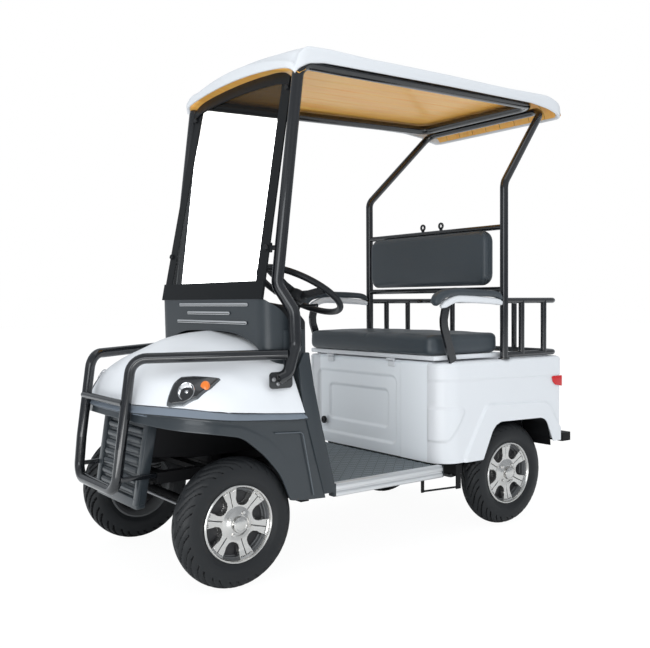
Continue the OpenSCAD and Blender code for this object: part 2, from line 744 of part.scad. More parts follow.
module rear_springs() {
    color("dimgray") both_sides() {
        leaf_spring(rear_axle_y, 420);
        for (y = [-210, 210])
            block([rail_x + rail_s / 2 + 0.5, rear_axle_y + y - 12, axle_h - 8], [spring_x - 22.5,
                rear_axle_y + y + 12, high_rail_top - rail_s + 20]);
    }
}

module front_springs() {
    color("dimgray") both_sides() {
        translate([rail_x + 52, front_axle_y, axle_h + 23]) cylinder(h = 122, r = 14);
        translate([rail_x + 52, front_axle_y, axle_h + 60]) cylinder(h = 82, r = 26);
    }
}

module rear_axle() {
    stub_end = rear_track / 2 + rim_w / 2 - 6;
    color("dimgray") both_sides() {
        tube([95, rear_axle_y, axle_h], [rear_track / 2 - rim_w / 2 + 12, rear_axle_y, axle_h], 24);
        tube([rear_track / 2 - rim_w / 2 + 12, rear_axle_y, axle_h], [stub_end, rear_axle_y, axle_h],
            spindle_r);
    }
}

module drive_motor() {
    // gear case and motor in one plain block
    color("gray") {
        tube([-94, rear_axle_y, axle_h], [94, rear_axle_y, axle_h], 78);
        tube([0, rear_axle_y + 40, axle_h + 10], [0, rear_axle_y + 240, axle_h + 10], 70);
    }
}

module battery_pack() {
    color("darkslategray")
        block([-300, body_front + 20, rail_top + 6], [300, rear(-240), rail_top + 236]);
    color("dimgray")
        block([-230, body_front + 14, rail_top + 0.5], [230, rear(-234), rail_top + 6]);
}

// ---- rear body and seat ----

// opening of the wheel arch in the outer skin, then the roomier well behind it, in (y, z)
arch_outline = [[rear(-210), 0], [rear(-207), 322], [rear(-150), 440], [rear(-96), 474], [rear(175), 468],
    [rear(218), 445], [rear(254), 370], [rear(262), 300], [rear(262), 0]];
well_outline = [[rear(-244), 0], [rear(-244), 340], [rear(-185), 440], [rear(-110), 482], [rear(180), 482],
    [rear(236), 445], [rear(258), 370], [rear(262), 300], [rear(262), 0]];
grown_well = [for (p = well_outline)
    [p.x + (p.x < rear(30) ? -skin_t : skin_t), p.y + (p.y > 400 ? skin_t : 0)]];

module body_block(inset, low, high) {
    // plan of the rear body, drawn in by the inset
    translate([0, 0, low]) linear_extrude(high - low) polygon(concat(
        [for (k = [0:6]) [-body_x + far_r - (far_r - inset) * cos(15 * k),
            body_front + far_r - (far_r - inset) * sin(15 * k)]],
        [for (k = [0:6]) [body_x - near_r + (near_r - inset) * sin(15 * k),
            body_front + near_r - (near_r - inset) * cos(15 * k)]],
        [for (k = [0:4]) [body_x - tail_r + (tail_r - inset) * cos(22.5 * k),
            body_back - tail_r + (tail_r - inset) * sin(22.5 * k)]],
        [for (k = [0:4]) [-body_x + tail_r - (tail_r - inset) * sin(22.5 * k),
            body_back - tail_r + (tail_r - inset) * cos(22.5 * k)]]));
}

module rear_body() {
    // moulded seat box, cargo tub and wheel wells in one skin
    color("white") {
        difference() {
            body_block(0, body_low, body_top);
            difference() {
                body_block(skin_t, 0, body_top - skin_t);
                block([-tub_x - skin_t, tub_front - skin_t, tub_floor - skin_t],
                    [tub_x + skin_t, body_back, body_top]);
                both_sides() side_plate(grown_well, well_x - skin_t, body_x);
            }
            block([-tub_x, tub_front, tub_floor], [tub_x, tub_back, body_top + 10]);
            // lid opening
            block([-body_x + 60, body_front + 40, body_top - 10],
                [body_x - 60, tub_front - 40, body_top + 10]);
            both_sides() side_plate(well_outline, well_x, body_x - skin_t);
            both_sides() side_plate(arch_outline, body_x - 40, body_x + 1);
            // clear of the hitch brackets behind the arches
            block([-body_x - 1, rear(258), 0], [body_x + 1, body_back + 1, 352]);
        }
        // pins of the lid hinges with their lugs
        for (x = hinge_places) {
            tube([x - 24, hinge_at.y, hinge_at.z], [x + 24, hinge_at.y, hinge_at.z], hinge_pin_r);
            for (side = [-1, 1])
                block([x + 20 * side - 3, hinge_at.y - 4, hinge_at.z - 14],
                    [x + 20 * side + 3, body_front + 1, hinge_at.z + 4]);
        }
    }
}

module seat_lid() {
    barrel_r = 6;
    color("white") {
        difference() {
            union() {
                block([-cushion_w / 2 - 2, body_front - 4, body_top + lid_gap + 5],
                    [cushion_w / 2 + 2, body_front + 400, body_top + lid_t]);
                for (x = hinge_places) {
                    translate([x - 15, hinge_at.y, hinge_at.z]) rotate([0, 90, 0]) cylinder(h = 30,
                        r = barrel_r);
                    block([x - 15, hinge_at.y - barrel_r, hinge_at.z], [x + 15, hinge_at.y - 3.5,
                        body_top + lid_t]);
                    block([x - 15, hinge_at.y - barrel_r, body_top + 12], [x + 15, body_front + 20,
                        body_top + lid_t]);
                }
            }
            for (x = hinge_places)
                translate([x - 30, hinge_at.y, hinge_at.z]) rotate([0, 90, 0])
                    cylinder(h = 60, r = hinge_pin_r + run_gap);
        }
    }
}

module seat_cushion() {
    color([0.24, 0.27, 0.3])
        translate([0, 0, body_top + lid_t]) linear_extrude(cushion_t)
            polygon(rounded_rect(-cushion_w / 2, cushion_front, cushion_w / 2,
                cushion_front + cushion_len, 40));
}

module backrest() {
    back_z = 1190;
    color([0.24, 0.27, 0.3])
        translate([0, b_y - rack_r - 1, back_z]) rotate([90, 0, 0]) linear_extrude(backrest_t)
            polygon(rounded_rect(-backrest_w / 2, -backrest_h / 2, backrest_w / 2, backrest_h / 2, 40));
}

module armrest(side) {
    // padded arm from the rear pillar with a flat stay down to the seat box
    color([0.1, 0.1, 0.11]) translate([side * arm_x, 0, 0]) {
        side_plate([[b_y - pillar_r - 1, 992], [rear(-120), 1012], [rear(-220), 1030], [rear(-330), 1018],
            [rear(-420), 976], [rear(-456), 984], [rear(-462), 1004], [rear(-400), 1034], [rear(-300), 1054],
            [rear(-220), 1056], [b_y - pillar_r - 1, 1022]], -armrest_w / 2, armrest_w / 2);
        side_plate([[rear(-446), 990], [rear(-452), 920], [rear(-398), body_top + 0.5], [rear(-372),
            body_top + 0.5],
            [rear(-434), 925], [rear(-428), 984]], -3, 3);
    }
}

module cargo_rack() {
    low_z = body_top + 18;
    high_z = body_top + rack_h;
    back_y = body_back - rack_r - 4;
    color([0.06, 0.06, 0.07]) {
        for (z = [low_z, high_z])
            bent_tube(across([[b_x, b_y + pillar_r, z], [b_x, back_y, z]]), rack_r, 40);
        both_sides() {
            for (y = [rear(69), rear(223)]) tube([b_x, y, low_z], [b_x, y, high_z], rack_r);
            tube([210, back_y, low_z], [210, back_y, high_z], rack_r);
        }
    }
}

module tail_lamps() {
    color("red") both_sides()
        block([body_x + 0.3, body_back - 70, 600], [body_x + 6, body_back - 12, 650]);
}

module rear_bumper() {
    // cross beam with a tow pin hole through its middle
    bar_y = rear(rear_overhang - 60);
    color([0.08, 0.08, 0.09]) difference() {
        union() {
                block([-452, bar_y, 334], [452, bar_y + 60, 374]);
            both_sides() block([rail_x - rail_s / 2, rear(291), 334], [rail_x + rail_s / 2, bar_y + 1, 350]);
        }
        translate([0, bar_y + 30, 300]) cylinder(h = 100, r = tow_pin_r);
    }
}

main_frame();
floor_pan();
floor_mat();
side_sills();
hood();
front_fender();
nose_grille();
bull_bar();
scuttle_trims();
roof_frame();
rear_frame();
roof_shell();
roof_liner();
windscreen();
windscreen_border();
cowl_panel();
dashboard();
steering_column();
steering_wheel();
front_axle();
knuckle(1);  // left_knuckle
knuckle(-1);  // right_knuckle
tie_rod();
tyre(true, 1);  // front_left_tyre
tyre(true, -1);  // front_right_tyre
tyre(false, 1);  // rear_left_tyre
tyre(false, -1);  // rear_right_tyre
rim(true, 1);  // front_left_rim
rim(true, -1);  // front_right_rim
rim(false, 1);  // rear_left_rim
rim(false, -1);  // rear_right_rim
rear_axle();
drive_motor();
rear_springs();
front_springs();
battery_pack();
rear_body();
seat_lid();
seat_cushion();
backrest();
armrest(1);  // left_armrest
armrest(-1);  // right_armrest
cargo_rack();
headlamps();
tail_lamps();
pedals();
rear_bumper();
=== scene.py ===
import json
import math
import bmesh
import bpy
import numpy as np
from mathutils import Matrix, Vector


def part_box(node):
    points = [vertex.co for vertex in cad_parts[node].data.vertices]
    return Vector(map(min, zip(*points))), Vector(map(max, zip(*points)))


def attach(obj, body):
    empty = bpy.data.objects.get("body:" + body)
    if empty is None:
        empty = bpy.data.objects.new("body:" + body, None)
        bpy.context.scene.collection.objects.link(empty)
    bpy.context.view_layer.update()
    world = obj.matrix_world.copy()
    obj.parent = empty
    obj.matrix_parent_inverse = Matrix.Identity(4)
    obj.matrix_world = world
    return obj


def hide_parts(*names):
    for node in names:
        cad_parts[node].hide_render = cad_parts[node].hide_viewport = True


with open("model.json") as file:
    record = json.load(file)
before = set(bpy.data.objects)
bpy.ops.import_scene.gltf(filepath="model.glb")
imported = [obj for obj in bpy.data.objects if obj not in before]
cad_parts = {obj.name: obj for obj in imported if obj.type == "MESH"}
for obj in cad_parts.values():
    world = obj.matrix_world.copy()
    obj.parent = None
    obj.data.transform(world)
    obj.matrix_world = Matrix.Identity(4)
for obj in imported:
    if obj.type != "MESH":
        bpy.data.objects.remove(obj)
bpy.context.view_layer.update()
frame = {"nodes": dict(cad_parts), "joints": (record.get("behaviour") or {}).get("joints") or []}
scene = bpy.context.scene
frontY = sum(corner.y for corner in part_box("front_axle")) / 2
rearY = sum(corner.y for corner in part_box("rear_axle")) / 2
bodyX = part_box("rear_body")[1].x
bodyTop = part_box("seat_cushion")[0].z - 0.028


def at(x, station, z):
    # stations are measured back from the front axle
    return Vector((x, frontY + station, z))


# materials

def grainGroup():
    group = bpy.data.node_groups.new("grainAndTone", "ShaderNodeTree")
    for name, kind, value in (("Scale", "NodeSocketFloat", 40), ("Tone", "NodeSocketFloat", 0.1),
            ("Height", "NodeSocketFloat", 0.1)):
        group.interface.new_socket(name, in_out="INPUT", socket_type=kind).default_value = value
    group.interface.new_socket("Tint", in_out="OUTPUT", socket_type="NodeSocketFloat")
    group.interface.new_socket("Normal", in_out="OUTPUT", socket_type="NodeSocketVector")
    nodes, links = group.nodes, group.links
    inlet, outlet = nodes.new("NodeGroupInput"), nodes.new("NodeGroupOutput")
    coords = nodes.new("ShaderNodeTexCoord")
    fine, broad = nodes.new("ShaderNodeTexNoise"), nodes.new("ShaderNodeTexNoise")
    fine.inputs["Detail"].default_value = 3
    broad.inputs["Scale"].default_value = 5
    tone = nodes.new("ShaderNodeMapRange")
    lowest = nodes.new("ShaderNodeMath")
    lowest.operation = "SUBTRACT"
    lowest.inputs[0].default_value = 1
    bump = nodes.new("ShaderNodeBump")
    bump.inputs["Distance"].default_value = 0.001
    links.new(coords.outputs["Object"], fine.inputs["Vector"])
    links.new(coords.outputs["Object"], broad.inputs["Vector"])
    links.new(inlet.outputs["Scale"], fine.inputs["Scale"])
    links.new(inlet.outputs["Tone"], lowest.inputs[1])
    links.new(broad.outputs["Fac"], tone.inputs["Value"])
    links.new(lowest.outputs[0], tone.inputs["To Min"])
    links.new(inlet.outputs["Height"], bump.inputs["Strength"])
    links.new(fine.outputs["Fac"], bump.inputs["Height"])
    links.new(tone.outputs["Result"], outlet.inputs["Tint"])
    links.new(bump.outputs["Normal"], outlet.inputs["Normal"])
    return group


grain = grainGroup()


def finish(name, colour, rough, metal=0.0, coat=0.0, scale=300, tone=0.06, height=0.03, clear=0.0,
        gleam=0.5):
    made = bpy.data.materials.new(name)
    made.use_nodes = True
    nodes, links = made.node_tree.nodes, made.node_tree.links
    shader = nodes["Principled BSDF"]
    shader.inputs["Roughness"].default_value = rough
    shader.inputs["Metallic"].default_value = metal
    shader.inputs["Coat Weight"].default_value = coat
    shader.inputs["Coat Roughness"].default_value = 0.08
    shader.inputs["Transmission Weight"].default_value = clear
    shader.inputs["Specular IOR Level"].default_value = gleam
    effect = nodes.new("ShaderNodeGroup")
    effect.node_tree = grain
    effect.inputs["Scale"].default_value = scale
    effect.inputs["Tone"].default_value = tone
    effect.inputs["Height"].default_value = height
    mix = nodes.new("ShaderNodeMix")
    mix.data_type = "RGBA"
    mix.blend_type = "MULTIPLY"
    mix.inputs["Factor"].default_value = 1
    mix.inputs[6].default_value = (*colour, 1)
    links.new(effect.outputs["Tint"], mix.inputs[7])
    links.new(mix.outputs[2], shader.inputs["Base Color"])
    links.new(effect.outputs["Normal"], shader.inputs["Normal"])
    return made


look = {"whitePaint": finish("white paint", (0.74, 0.755, 0.78), 0.42, coat=0.2, tone=0.02, height=0.01),
    "greyPlastic": finish("grey plastic", (0.026, 0.033, 0.039), 0.3, coat=0.3, tone=0.12, height=0.04),
    "trimGrey": finish("dark trim", (0.026, 0.033, 0.039), 0.34, tone=0.1, height=0.04),
    "blackTube": finish("black tube", (0.007, 0.008, 0.010), 0.16, coat=0.7, tone=0.1, height=0.01),
    "blackSteel": finish("black steel", (0.008, 0.008, 0.009), 0.5, tone=0.3, height=0.08, gleam=0.2),
    "softBlack": finish("soft black", (0.010, 0.011, 0.013), 0.42, tone=0.15, height=0.06, gleam=0.35),
    "edgeBlack": finish("edge print", (0.007, 0.008, 0.009), 0.3, tone=0.1, height=0.0, gleam=0.15),
    # near-black rubber for the tyre grooves, painted shade
    "grooveShade": finish("groove painted shade", (0.003, 0.003, 0.0035), 0.7, tone=0.1, height=0.0, gleam=0.1),
    # brighter white for the forward-facing panel under the seat, painted light
    "panelPaintedLight": finish("step panel painted light", (0.92, 0.955, 0.99), 0.42, coat=0.2, tone=0.02, height=0.01),
    "matRib": finish("mat rib", (0.075, 0.09, 0.10), 0.5, tone=0.08, height=0.05),
    # paler grey for the wing ledge top, a painted highlight
    "ledgeHighlight": finish("ledge painted highlight", (0.17, 0.2, 0.24), 0.3, coat=0.3, tone=0.1, height=0.02),
    # paler grey for the wing recess line, a painted highlight
    "recessHighlight": finish("recess painted highlight", (0.085, 0.1, 0.115), 0.3, coat=0.2, tone=0.05, height=0.0),
    "leather": finish("leatherette", (0.046, 0.057, 0.067), 0.34, tone=0.1, height=0.22, scale=420,
    gleam=0.45), "rubber": finish("tyre rubber", (0.012, 0.0135, 0.0155), 0.5, tone=0.25, height=0.12,
    scale=200, gleam=0.4), "alloy": finish("machined alloy", (0.72, 0.71, 0.69), 0.24, metal=1.0,
    tone=0.08, height=0.03), "pocketShade": finish("pocket painted shade", (0.02, 0.02, 0.022), 0.4, tone=0.2),
    "chrome": finish("chrome", (0.85, 0.85, 0.86), 0.08, metal=1.0, tone=0.03, height=0.0),
    "steel": finish("bare steel", (0.4, 0.4, 0.41), 0.35, metal=1.0, tone=0.2, height=0.08),
    "castMetal": finish("cast metal", (0.16, 0.165, 0.17), 0.55, metal=0.6, tone=0.3, height=0.3),
    "battery": finish("battery plastic", (0.03, 0.033, 0.036), 0.5, tone=0.15),
    "sillMetal": finish("sill metal", (0.78, 0.79, 0.80), 0.33, metal=0.85, tone=0.05, height=0.02),
    "matGrey": finish("floor mat", (0.15, 0.18, 0.2), 0.5, tone=0.15, height=0.1),
    "redLens": finish("red lens", (0.62, 0.008, 0.012), 0.2, coat=0.2, tone=0.1),
    "amberLens": finish("amber lens", (0.85, 0.2, 0.02), 0.15, coat=0.8, tone=0.25),
    "lampBlack": finish("lamp housing", (0.012, 0.013, 0.015), 0.15, coat=0.8, tone=0.2),
    "lampRim": finish("lamp rim", (0.16, 0.17, 0.18), 0.25, metal=0.7, tone=0.1),}


def glassMaterial():
    made = bpy.data.materials.new("clear glass")
    made.use_nodes = True
    nodes, links = made.node_tree.nodes, made.node_tree.links
    nodes.clear()
    outlet = nodes.new("ShaderNodeOutputMaterial")
    through, shine = nodes.new("ShaderNodeBsdfTransparent"), nodes.new("ShaderNodeBsdfGlossy")
    mix = nodes.new("ShaderNodeMixShader")
    through.inputs["Color"].default_value = (0.97, 0.985, 0.98, 1)
    shine.inputs["Roughness"].default_value = 0.03
    edge, steep = nodes.new("ShaderNodeLayerWeight"), nodes.new("ShaderNodeMath")
    steep.operation = "POWER"
    steep.inputs[1].default_value = 4
    links.new(edge.outputs["Facing"], steep.inputs[0])
    links.new(steep.outputs[0], mix.inputs[0])
    links.new(through.outputs[0], mix.inputs[1])
    links.new(shine.outputs[0], mix.inputs[2])
    links.new(mix.outputs[0], outlet.inputs[0])
    return made


look["glass"] = glassMaterial()


# dark glass for the top band of the screen: a tint that also paints the shade on the roof's underside seen
# through it
def tintAndShadeMaterial():
    made = bpy.data.materials.new("tinted glass and painted shade")
    made.use_nodes = True
    nodes, links = made.node_tree.nodes, made.node_tree.links
    nodes.clear()
    outlet = nodes.new("ShaderNodeOutputMaterial")
    through, shine = nodes.new("ShaderNodeBsdfTransparent"), nodes.new("ShaderNodeBsdfPrincipled")
    mix = nodes.new("ShaderNodeMixShader")
    through.inputs["Color"].default_value = (0.19, 0.185, 0.18, 1)
    shine.inputs["Base Color"].default_value = (0.02, 0.022, 0.024, 1)
    shine.inputs["Roughness"].default_value = 0.15
    mix.inputs[0].default_value = 0.15
    links.new(through.outputs[0], mix.inputs[1])
    links.new(shine.outputs[0], mix.inputs[2])
    links.new(mix.outputs[0], outlet.inputs[0])
    return made


look["tintAndShade"] = tintAndShadeMaterial()


def woodMaterial():
    made = finish("planked wood", (0.8, 0.5, 0.2), 0.42, coat=0.15, tone=0.1, height=0.05)
    nodes, links = made.node_tree.nodes, made.node_tree.links
    coords, stretch = nodes.new("ShaderNodeTexCoord"), nodes.new("ShaderNodeMapping")
    stretch.inputs["Scale"].default_value = (9, 0.6, 3)
    streak = nodes.new("ShaderNodeTexNoise")
    streak.inputs["Scale"].default_value = 6
    streak.inputs["Detail"].default_value = 6
    ramp = nodes.new("ShaderNodeValToRGB")
    ramp.color_ramp.elements[0].position = 0.3
    ramp.color_ramp.elements[0].color = (1.0, 0.45, 0.075, 1)
    ramp.color_ramp.elements[1].position = 0.7
    ramp.color_ramp.elements[1].color = (1.0, 0.58, 0.13, 1)
    mix = [n for n in nodes if n.type == "MIX"][0]
    links.new(coords.outputs["Object"], stretch.inputs["Vector"])
    links.new(stretch.outputs["Vector"], streak.inputs["Vector"])
    links.new(streak.outputs["Fac"], ramp.inputs["Fac"])
    links.new(ramp.outputs["Color"], mix.inputs[6])
    return made


look["wood"] = woodMaterial()
print("materials ready")


# mesh helpers

def place(obj, material, body="cart", stands=()):
    obj.name = obj.name.replace(" ", "_")
    if material:
        obj.data.materials.append(look[material])
    if obj.name not in scene.collection.all_objects:
        scene.collection.objects.link(obj)
    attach(obj, body)
    if stands:
        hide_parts(*stands)
    return obj


def solid(name, verts, faces, smooth=35):
    mesh = bpy.data.meshes.new(name)
    mesh.from_pydata([tuple(v) for v in verts], [], faces)
    mesh.validate()
    mesh.update()
    if smooth:
        mesh.shade_smooth()
        mesh.set_sharp_from_angle(angle=math.radians(smooth))
    obj = bpy.data.objects.new(name, mesh)
    scene.collection.objects.link(obj)
    return obj


def outward(obj):
    bpy.context.view_layer.objects.active = obj
    bpy.ops.object.select_all(action="DESELECT")
    obj.select_set(True)
    bpy.ops.object.mode_set(mode="EDIT")
    bpy.ops.mesh.select_all(action="SELECT")
    bpy.ops.mesh.normals_make_consistent(inside=False)
    bpy.ops.object.mode_set(mode="OBJECT")
    return obj


def applied(obj, kind, **settings):
    step = obj.modifiers.new(kind, kind)
    for key, value in settings.items():
        setattr(step, key, value)
    graph = bpy.context.evaluated_depsgraph_get()
    mesh = bpy.data.meshes.new_from_object(obj.evaluated_get(graph))
    obj.modifiers.clear()
    obj.data = mesh
    return obj


def joined(name, objs):
    bpy.ops.object.select_all(action="DESELECT")
    for obj in objs:
        obj.select_set(True)
    bpy.context.view_layer.objects.active = objs[0]
    bpy.ops.object.join()
    objs[0].name = name
    return objs[0]


def through(points, steps):
    # smooth line of extra points that passes through the given ones
    points = np.asarray(points, float)
    ends = np.concatenate([[2 * points[0] - points[1]], points, [2 * points[-1] - points[-2]]])
    line = []
    for k in range(len(points) - 1):
        a, b, c, d = ends[k:k + 4]
        for t in np.arange(steps) / steps:
            line.append(0.5 * (2 * b + (c - a) * t + (2 * a - 5 * b + 4 * c - d) * t * t
                + (3 * b - a - 3 * c + d) * t ** 3))
    return np.array(line + [points[-1]])


def smoothed(grid, across, along):
    grid = through(grid, along)
    return through(np.swapaxes(grid, 0, 1), across).swapaxes(0, 1)


def wholeRows(rows):
    # rows given from the middle out, with their mirror image put before them
    grid = np.array([[tuple(at(*p)) for p in row] for row in rows])
    return np.concatenate([grid[:, :0:-1] * (-1, 1, 1), grid], 1)


def gridNormals(grid):
    down = np.gradient(grid, axis=0)
    side = np.gradient(grid, axis=1)
    normal = np.cross(side, down)
    return normal / (np.linalg.norm(normal, axis=2, keepdims=True) + 1e-12)


def gridObject(name, grid, thick=0.0, smooth=35, closed=False):
    rows, cols = grid.shape[:2]
    faces = []
    last = cols if closed else cols - 1
    for i in range(rows - 1):
        for j in range(last):
            k = (j + 1) % cols
            faces.append((i * cols + j, i * cols + k, (i + 1) * cols + k, (i + 1) * cols + j))
    obj = solid(name, grid.reshape(-1, 3), faces, 0)
    if thick:
        applied(obj, "SOLIDIFY", thickness=thick, offset=-1)
    obj.data.shade_smooth()
    obj.data.set_sharp_from_angle(angle=math.radians(smooth))
    return obj


def rounded(points, bend, steps=8):
    # the line with its corners rounded
    points = [Vector(p) for p in points]
    line = [points[0]]
    for a, b, c in zip(points, points[1:], points[2:]):
        into, out = (b - a).normalized(), (c - b).normalized()
        angle = into.angle(out)
        if angle < 0.01:
            line.append(b)
            continue
        back = min(bend * math.tan(angle / 2), 0.48 * (b - a).length, 0.48 * (c - b).length)
        radius = back / math.tan(angle / 2)
        start = b - into * back
        middle = b + (out - into).normalized() * (radius / math.cos(angle / 2))
        spoke = start - middle
        for k in range(steps + 1):
            turn = angle * k / steps
            line.append(middle + spoke * math.cos(turn) + into * radius * math.sin(turn))
    return line + [points[-1]]


def swept(name, line, section, ends=True, smooth=40, scales=None):
    # a closed section of (u, v) points carried along the line without twist
    line = [Vector(p) for p in line]
    ways = []
    for i in range(len(line)):
        before = (line[i] - line[i - 1]).normalized() if i else None
        after = (line[i + 1] - line[i]).normalized() if i + 1 < len(line) else None
        ways.append(((before or after) + (after or before)).normalized())
    up = Vector((1, 0, 0)) if abs(ways[0].x) < 0.8 else Vector((0, 0, 1))
    verts, faces = [], []
    n = len(section)
    for i, (p, way) in enumerate(zip(line, ways)):
        up = (up - way * way.dot(up)).normalized()
        side = way.cross(up)
        grow = scales[i] if scales is not None else (1, 1)
        verts += [p + up * (u * grow[0]) + side * (v * grow[1]) for u, v in section]
    for i in range(len(line) - 1):
        faces += [(i * n + k, i * n + (k + 1) % n, (i + 1) * n + (k + 1) % n, (i + 1) * n + k)
            for k in range(n)]
    if ends:
        faces += [tuple(range(n - 1, -1, -1)), tuple(range((len(line) - 1) * n, len(line) * n))]
    obj = solid(name, verts, faces, smooth)
    return outward(obj)


def circle(radius, sides=24):
    return [(radius * math.cos(2 * math.pi * k / sides), radius * math.sin(2 * math.pi * k / sides))
        for k in range(sides)]


def tube(name, points, radius, bend=0.0, sides=24):
    return swept(name, rounded(points, bend) if bend else points, circle(radius, sides))


def block(name, low, high, bevel=0.002, segments=2):
    low, high = Vector(low), Vector(high)
    corners = [(x, y, z) for x in (low.x, high.x) for y in (low.y, high.y) for z in (low.z, high.z)]
    obj = solid(name, corners, [(0, 1, 3, 2), (4, 6, 7, 5), (0, 4, 5, 1), (2, 3, 7, 6), (0, 2, 6, 4),
        (1, 5, 7, 3)], 0)
    if bevel:
        applied(obj, "BEVEL", width=bevel, segments=segments, limit_method="NONE")
    obj.data.shade_smooth()
    obj.data.set_sharp_from_angle(angle=math.radians(40))
    return obj


def plate(name, outline, thick, bevel=0.0, segments=2, smooth=40):
    # flat outline of 3-D points made into a plate, thickened along the given vector
    thick = Vector(thick)
    n = len(outline)
    verts = [Vector(p) for p in outline] + [Vector(p) + thick for p in outline]
    faces = [tuple(range(n)), tuple(range(2 * n - 1, n - 1, -1))]
    faces += [(k, n + k, n + (k + 1) % n, (k + 1) % n) for k in range(n)]
    obj = outward(solid(name, verts, faces, 0))
    if bevel:
        applied(obj, "BEVEL", width=bevel, segments=segments, limit_method="ANGLE",
            angle_limit=math.radians(30))
    obj.data.shade_smooth()
    obj.data.set_sharp_from_angle(angle=math.radians(smooth))
    return obj


def roundedOutline(x0, y0, x1, y1, radius, steps=6):
    points = []
    for cx, cy, start in ((x1 - radius, y1 - radius, 0), (x0 + radius, y1 - radius, 90),
            (x0 + radius, y0 + radius, 180), (x1 - radius, y0 + radius, 270)):
        for k in range(steps + 1):
            turn = math.radians(start + 90 * k / steps)
            points.append((cx + radius * math.cos(turn), cy + radius * math.sin(turn)))
    return points


def turned(name, profile, steps=96, smooth=35):
    # profile of (radius, out) points turned round the local Z axis
    verts = [(r * math.cos(2 * math.pi * k / steps), r * math.sin(2 * math.pi * k / steps), z)
        for k in range(steps) for r, z in profile]
    n = len(profile)
    faces = [(k * n + i, ((k + 1) % steps) * n + i, ((k + 1) % steps) * n + i + 1, k * n + i + 1)
        for k in range(steps) for i in range(n - 1)]
    return solid(name, verts, faces, smooth)


def opened(obj, gone):
    # takes away the faces whose corners are all marked
    edit = bmesh.new()
    edit.from_mesh(obj.data)
    bmesh.ops.delete(edit, geom=[f for f in edit.faces if all(gone[v.index] for v in f.verts)],
        context="FACES")
    edit.to_mesh(obj.data)
    edit.free()


def inside(points, outline):
    # signed distance of (u, v) points to a closed outline, positive inside
    points = np.asarray(points, float)
    outline = np.asarray(outline, float)
    best = np.full(points.shape[:-1], 1e9)
    crossings = np.zeros(points.shape[:-1], bool)
    for a, b in zip(outline, np.roll(outline, -1, 0)):
        edge = b - a
        t = np.clip(((points - a) @ edge) / (edge @ edge), 0, 1)
        best = np.minimum(best, np.linalg.norm(points - a - t[..., None] * edge, axis=-1))
        spans = (a[1] > points[..., 1]) != (b[1] > points[..., 1])
        with np.errstate(divide="ignore", invalid="ignore"):
            hit = points[..., 0] < (b[0] - a[0]) * (points[..., 1] - a[1]) / (b[1] - a[1] + 1e-15) + a[0]
        crossings ^= spans & hit
    return np.where(crossings, best, -best)


def ramp(value, width):
    # smooth rise from 0 to 1 as the value passes through zero
    t = np.clip(value / width + 0.5, 0, 1)
    return t * t * (3 - 2 * t)


# wheels

tyreLook = {"width": 0.108, "sipes": 17, "sipeDepth": 0.007, "steps": 480}
rimLook = {"spokes": 6, "pocketDepth": 0.024, "steps": 360}


def tyreMesh():
    half = tyreLook["width"] / 2
    section = through([(0.1335, -0.0415), (0.142, -0.045), (0.152, -0.0505), (0.165, -half),
        (0.182, -half * 0.99), (0.197, -half * 0.93), (0.2085, -half * 0.84), (0.2175, -half * 0.7),
        (0.2245, -half * 0.48), (0.229, -half * 0.22), (0.23, 0)], 4)
    section = np.concatenate([section, section[-2::-1] * (1, -1)])
    angles = np.linspace(0, 2 * math.pi, tyreLook["steps"], endpoint=False)
    radius = section[None, :, 0] + 0 * angles[:, None]
    out = section[None, :, 1] + 0 * angles[:, None]
    share = np.abs(section[:, 1]) / half
    reach = np.where(section[:, 0] > 0.199, share, 1.5)[None, :]
    lane = np.sign(section[:, 1])[None, :]
    phase = angles[:, None] / (2 * math.pi) * tyreLook["sipes"] + 0.25 * lane + 1.35 * reach ** 1.2
    spacing = 2 * math.pi * 0.225 / tyreLook["sipes"]
    near = np.abs((phase % 1) - 0.5) * spacing
    second = np.abs(((phase + 0.42) % 1) - 0.5) * spacing
    # long sipes from near the middle over the shoulder, and shorter ones between them
    sipeHalf = 0.0075 * np.clip(1.35 - 0.7 * reach, 0.3, 1)
    longRun = ramp(reach - 0.06, 0.08) * (1 - ramp(reach - 1.12, 0.08))
    shortRun = ramp(reach - 0.28, 0.1) * (1 - ramp(reach - 0.95, 0.1))
    cut = (1 - ramp(near - sipeHalf, 0.0035)) * longRun
    cut = np.maximum(cut, 0.9 * (1 - ramp(second - 0.0045, 0.0035)) * shortRun)
    radius = radius - cut * tyreLook["sipeDepth"]
    for ring in (0.149, 0.196):
        onRing = 1 - ramp(np.abs(section[None, :, 0] - ring) - 0.0008, 0.002)
        out = out - np.sign(out) * 0.0009 * onRing * (radius < 0.2)
    grid = np.stack([radius * np.cos(angles)[:, None], radius * np.sin(angles)[:, None], out], 2)
    tyre = gridObject("tyre", grid.swapaxes(0, 1), closed=True, smooth=60)
    tyre.data.materials.append(look["rubber"])
    # faces down in the sipe cuts get near-black rubber, painted shade in the grooves
    tyre.data.materials.append(look["grooveShade"])
    for polygon in tyre.data.polygons:
        row, step = divmod(polygon.vertices[0], tyreLook["steps"])
        polygon.material_index = int(cut[step, row] > 0.35)
    return tyre


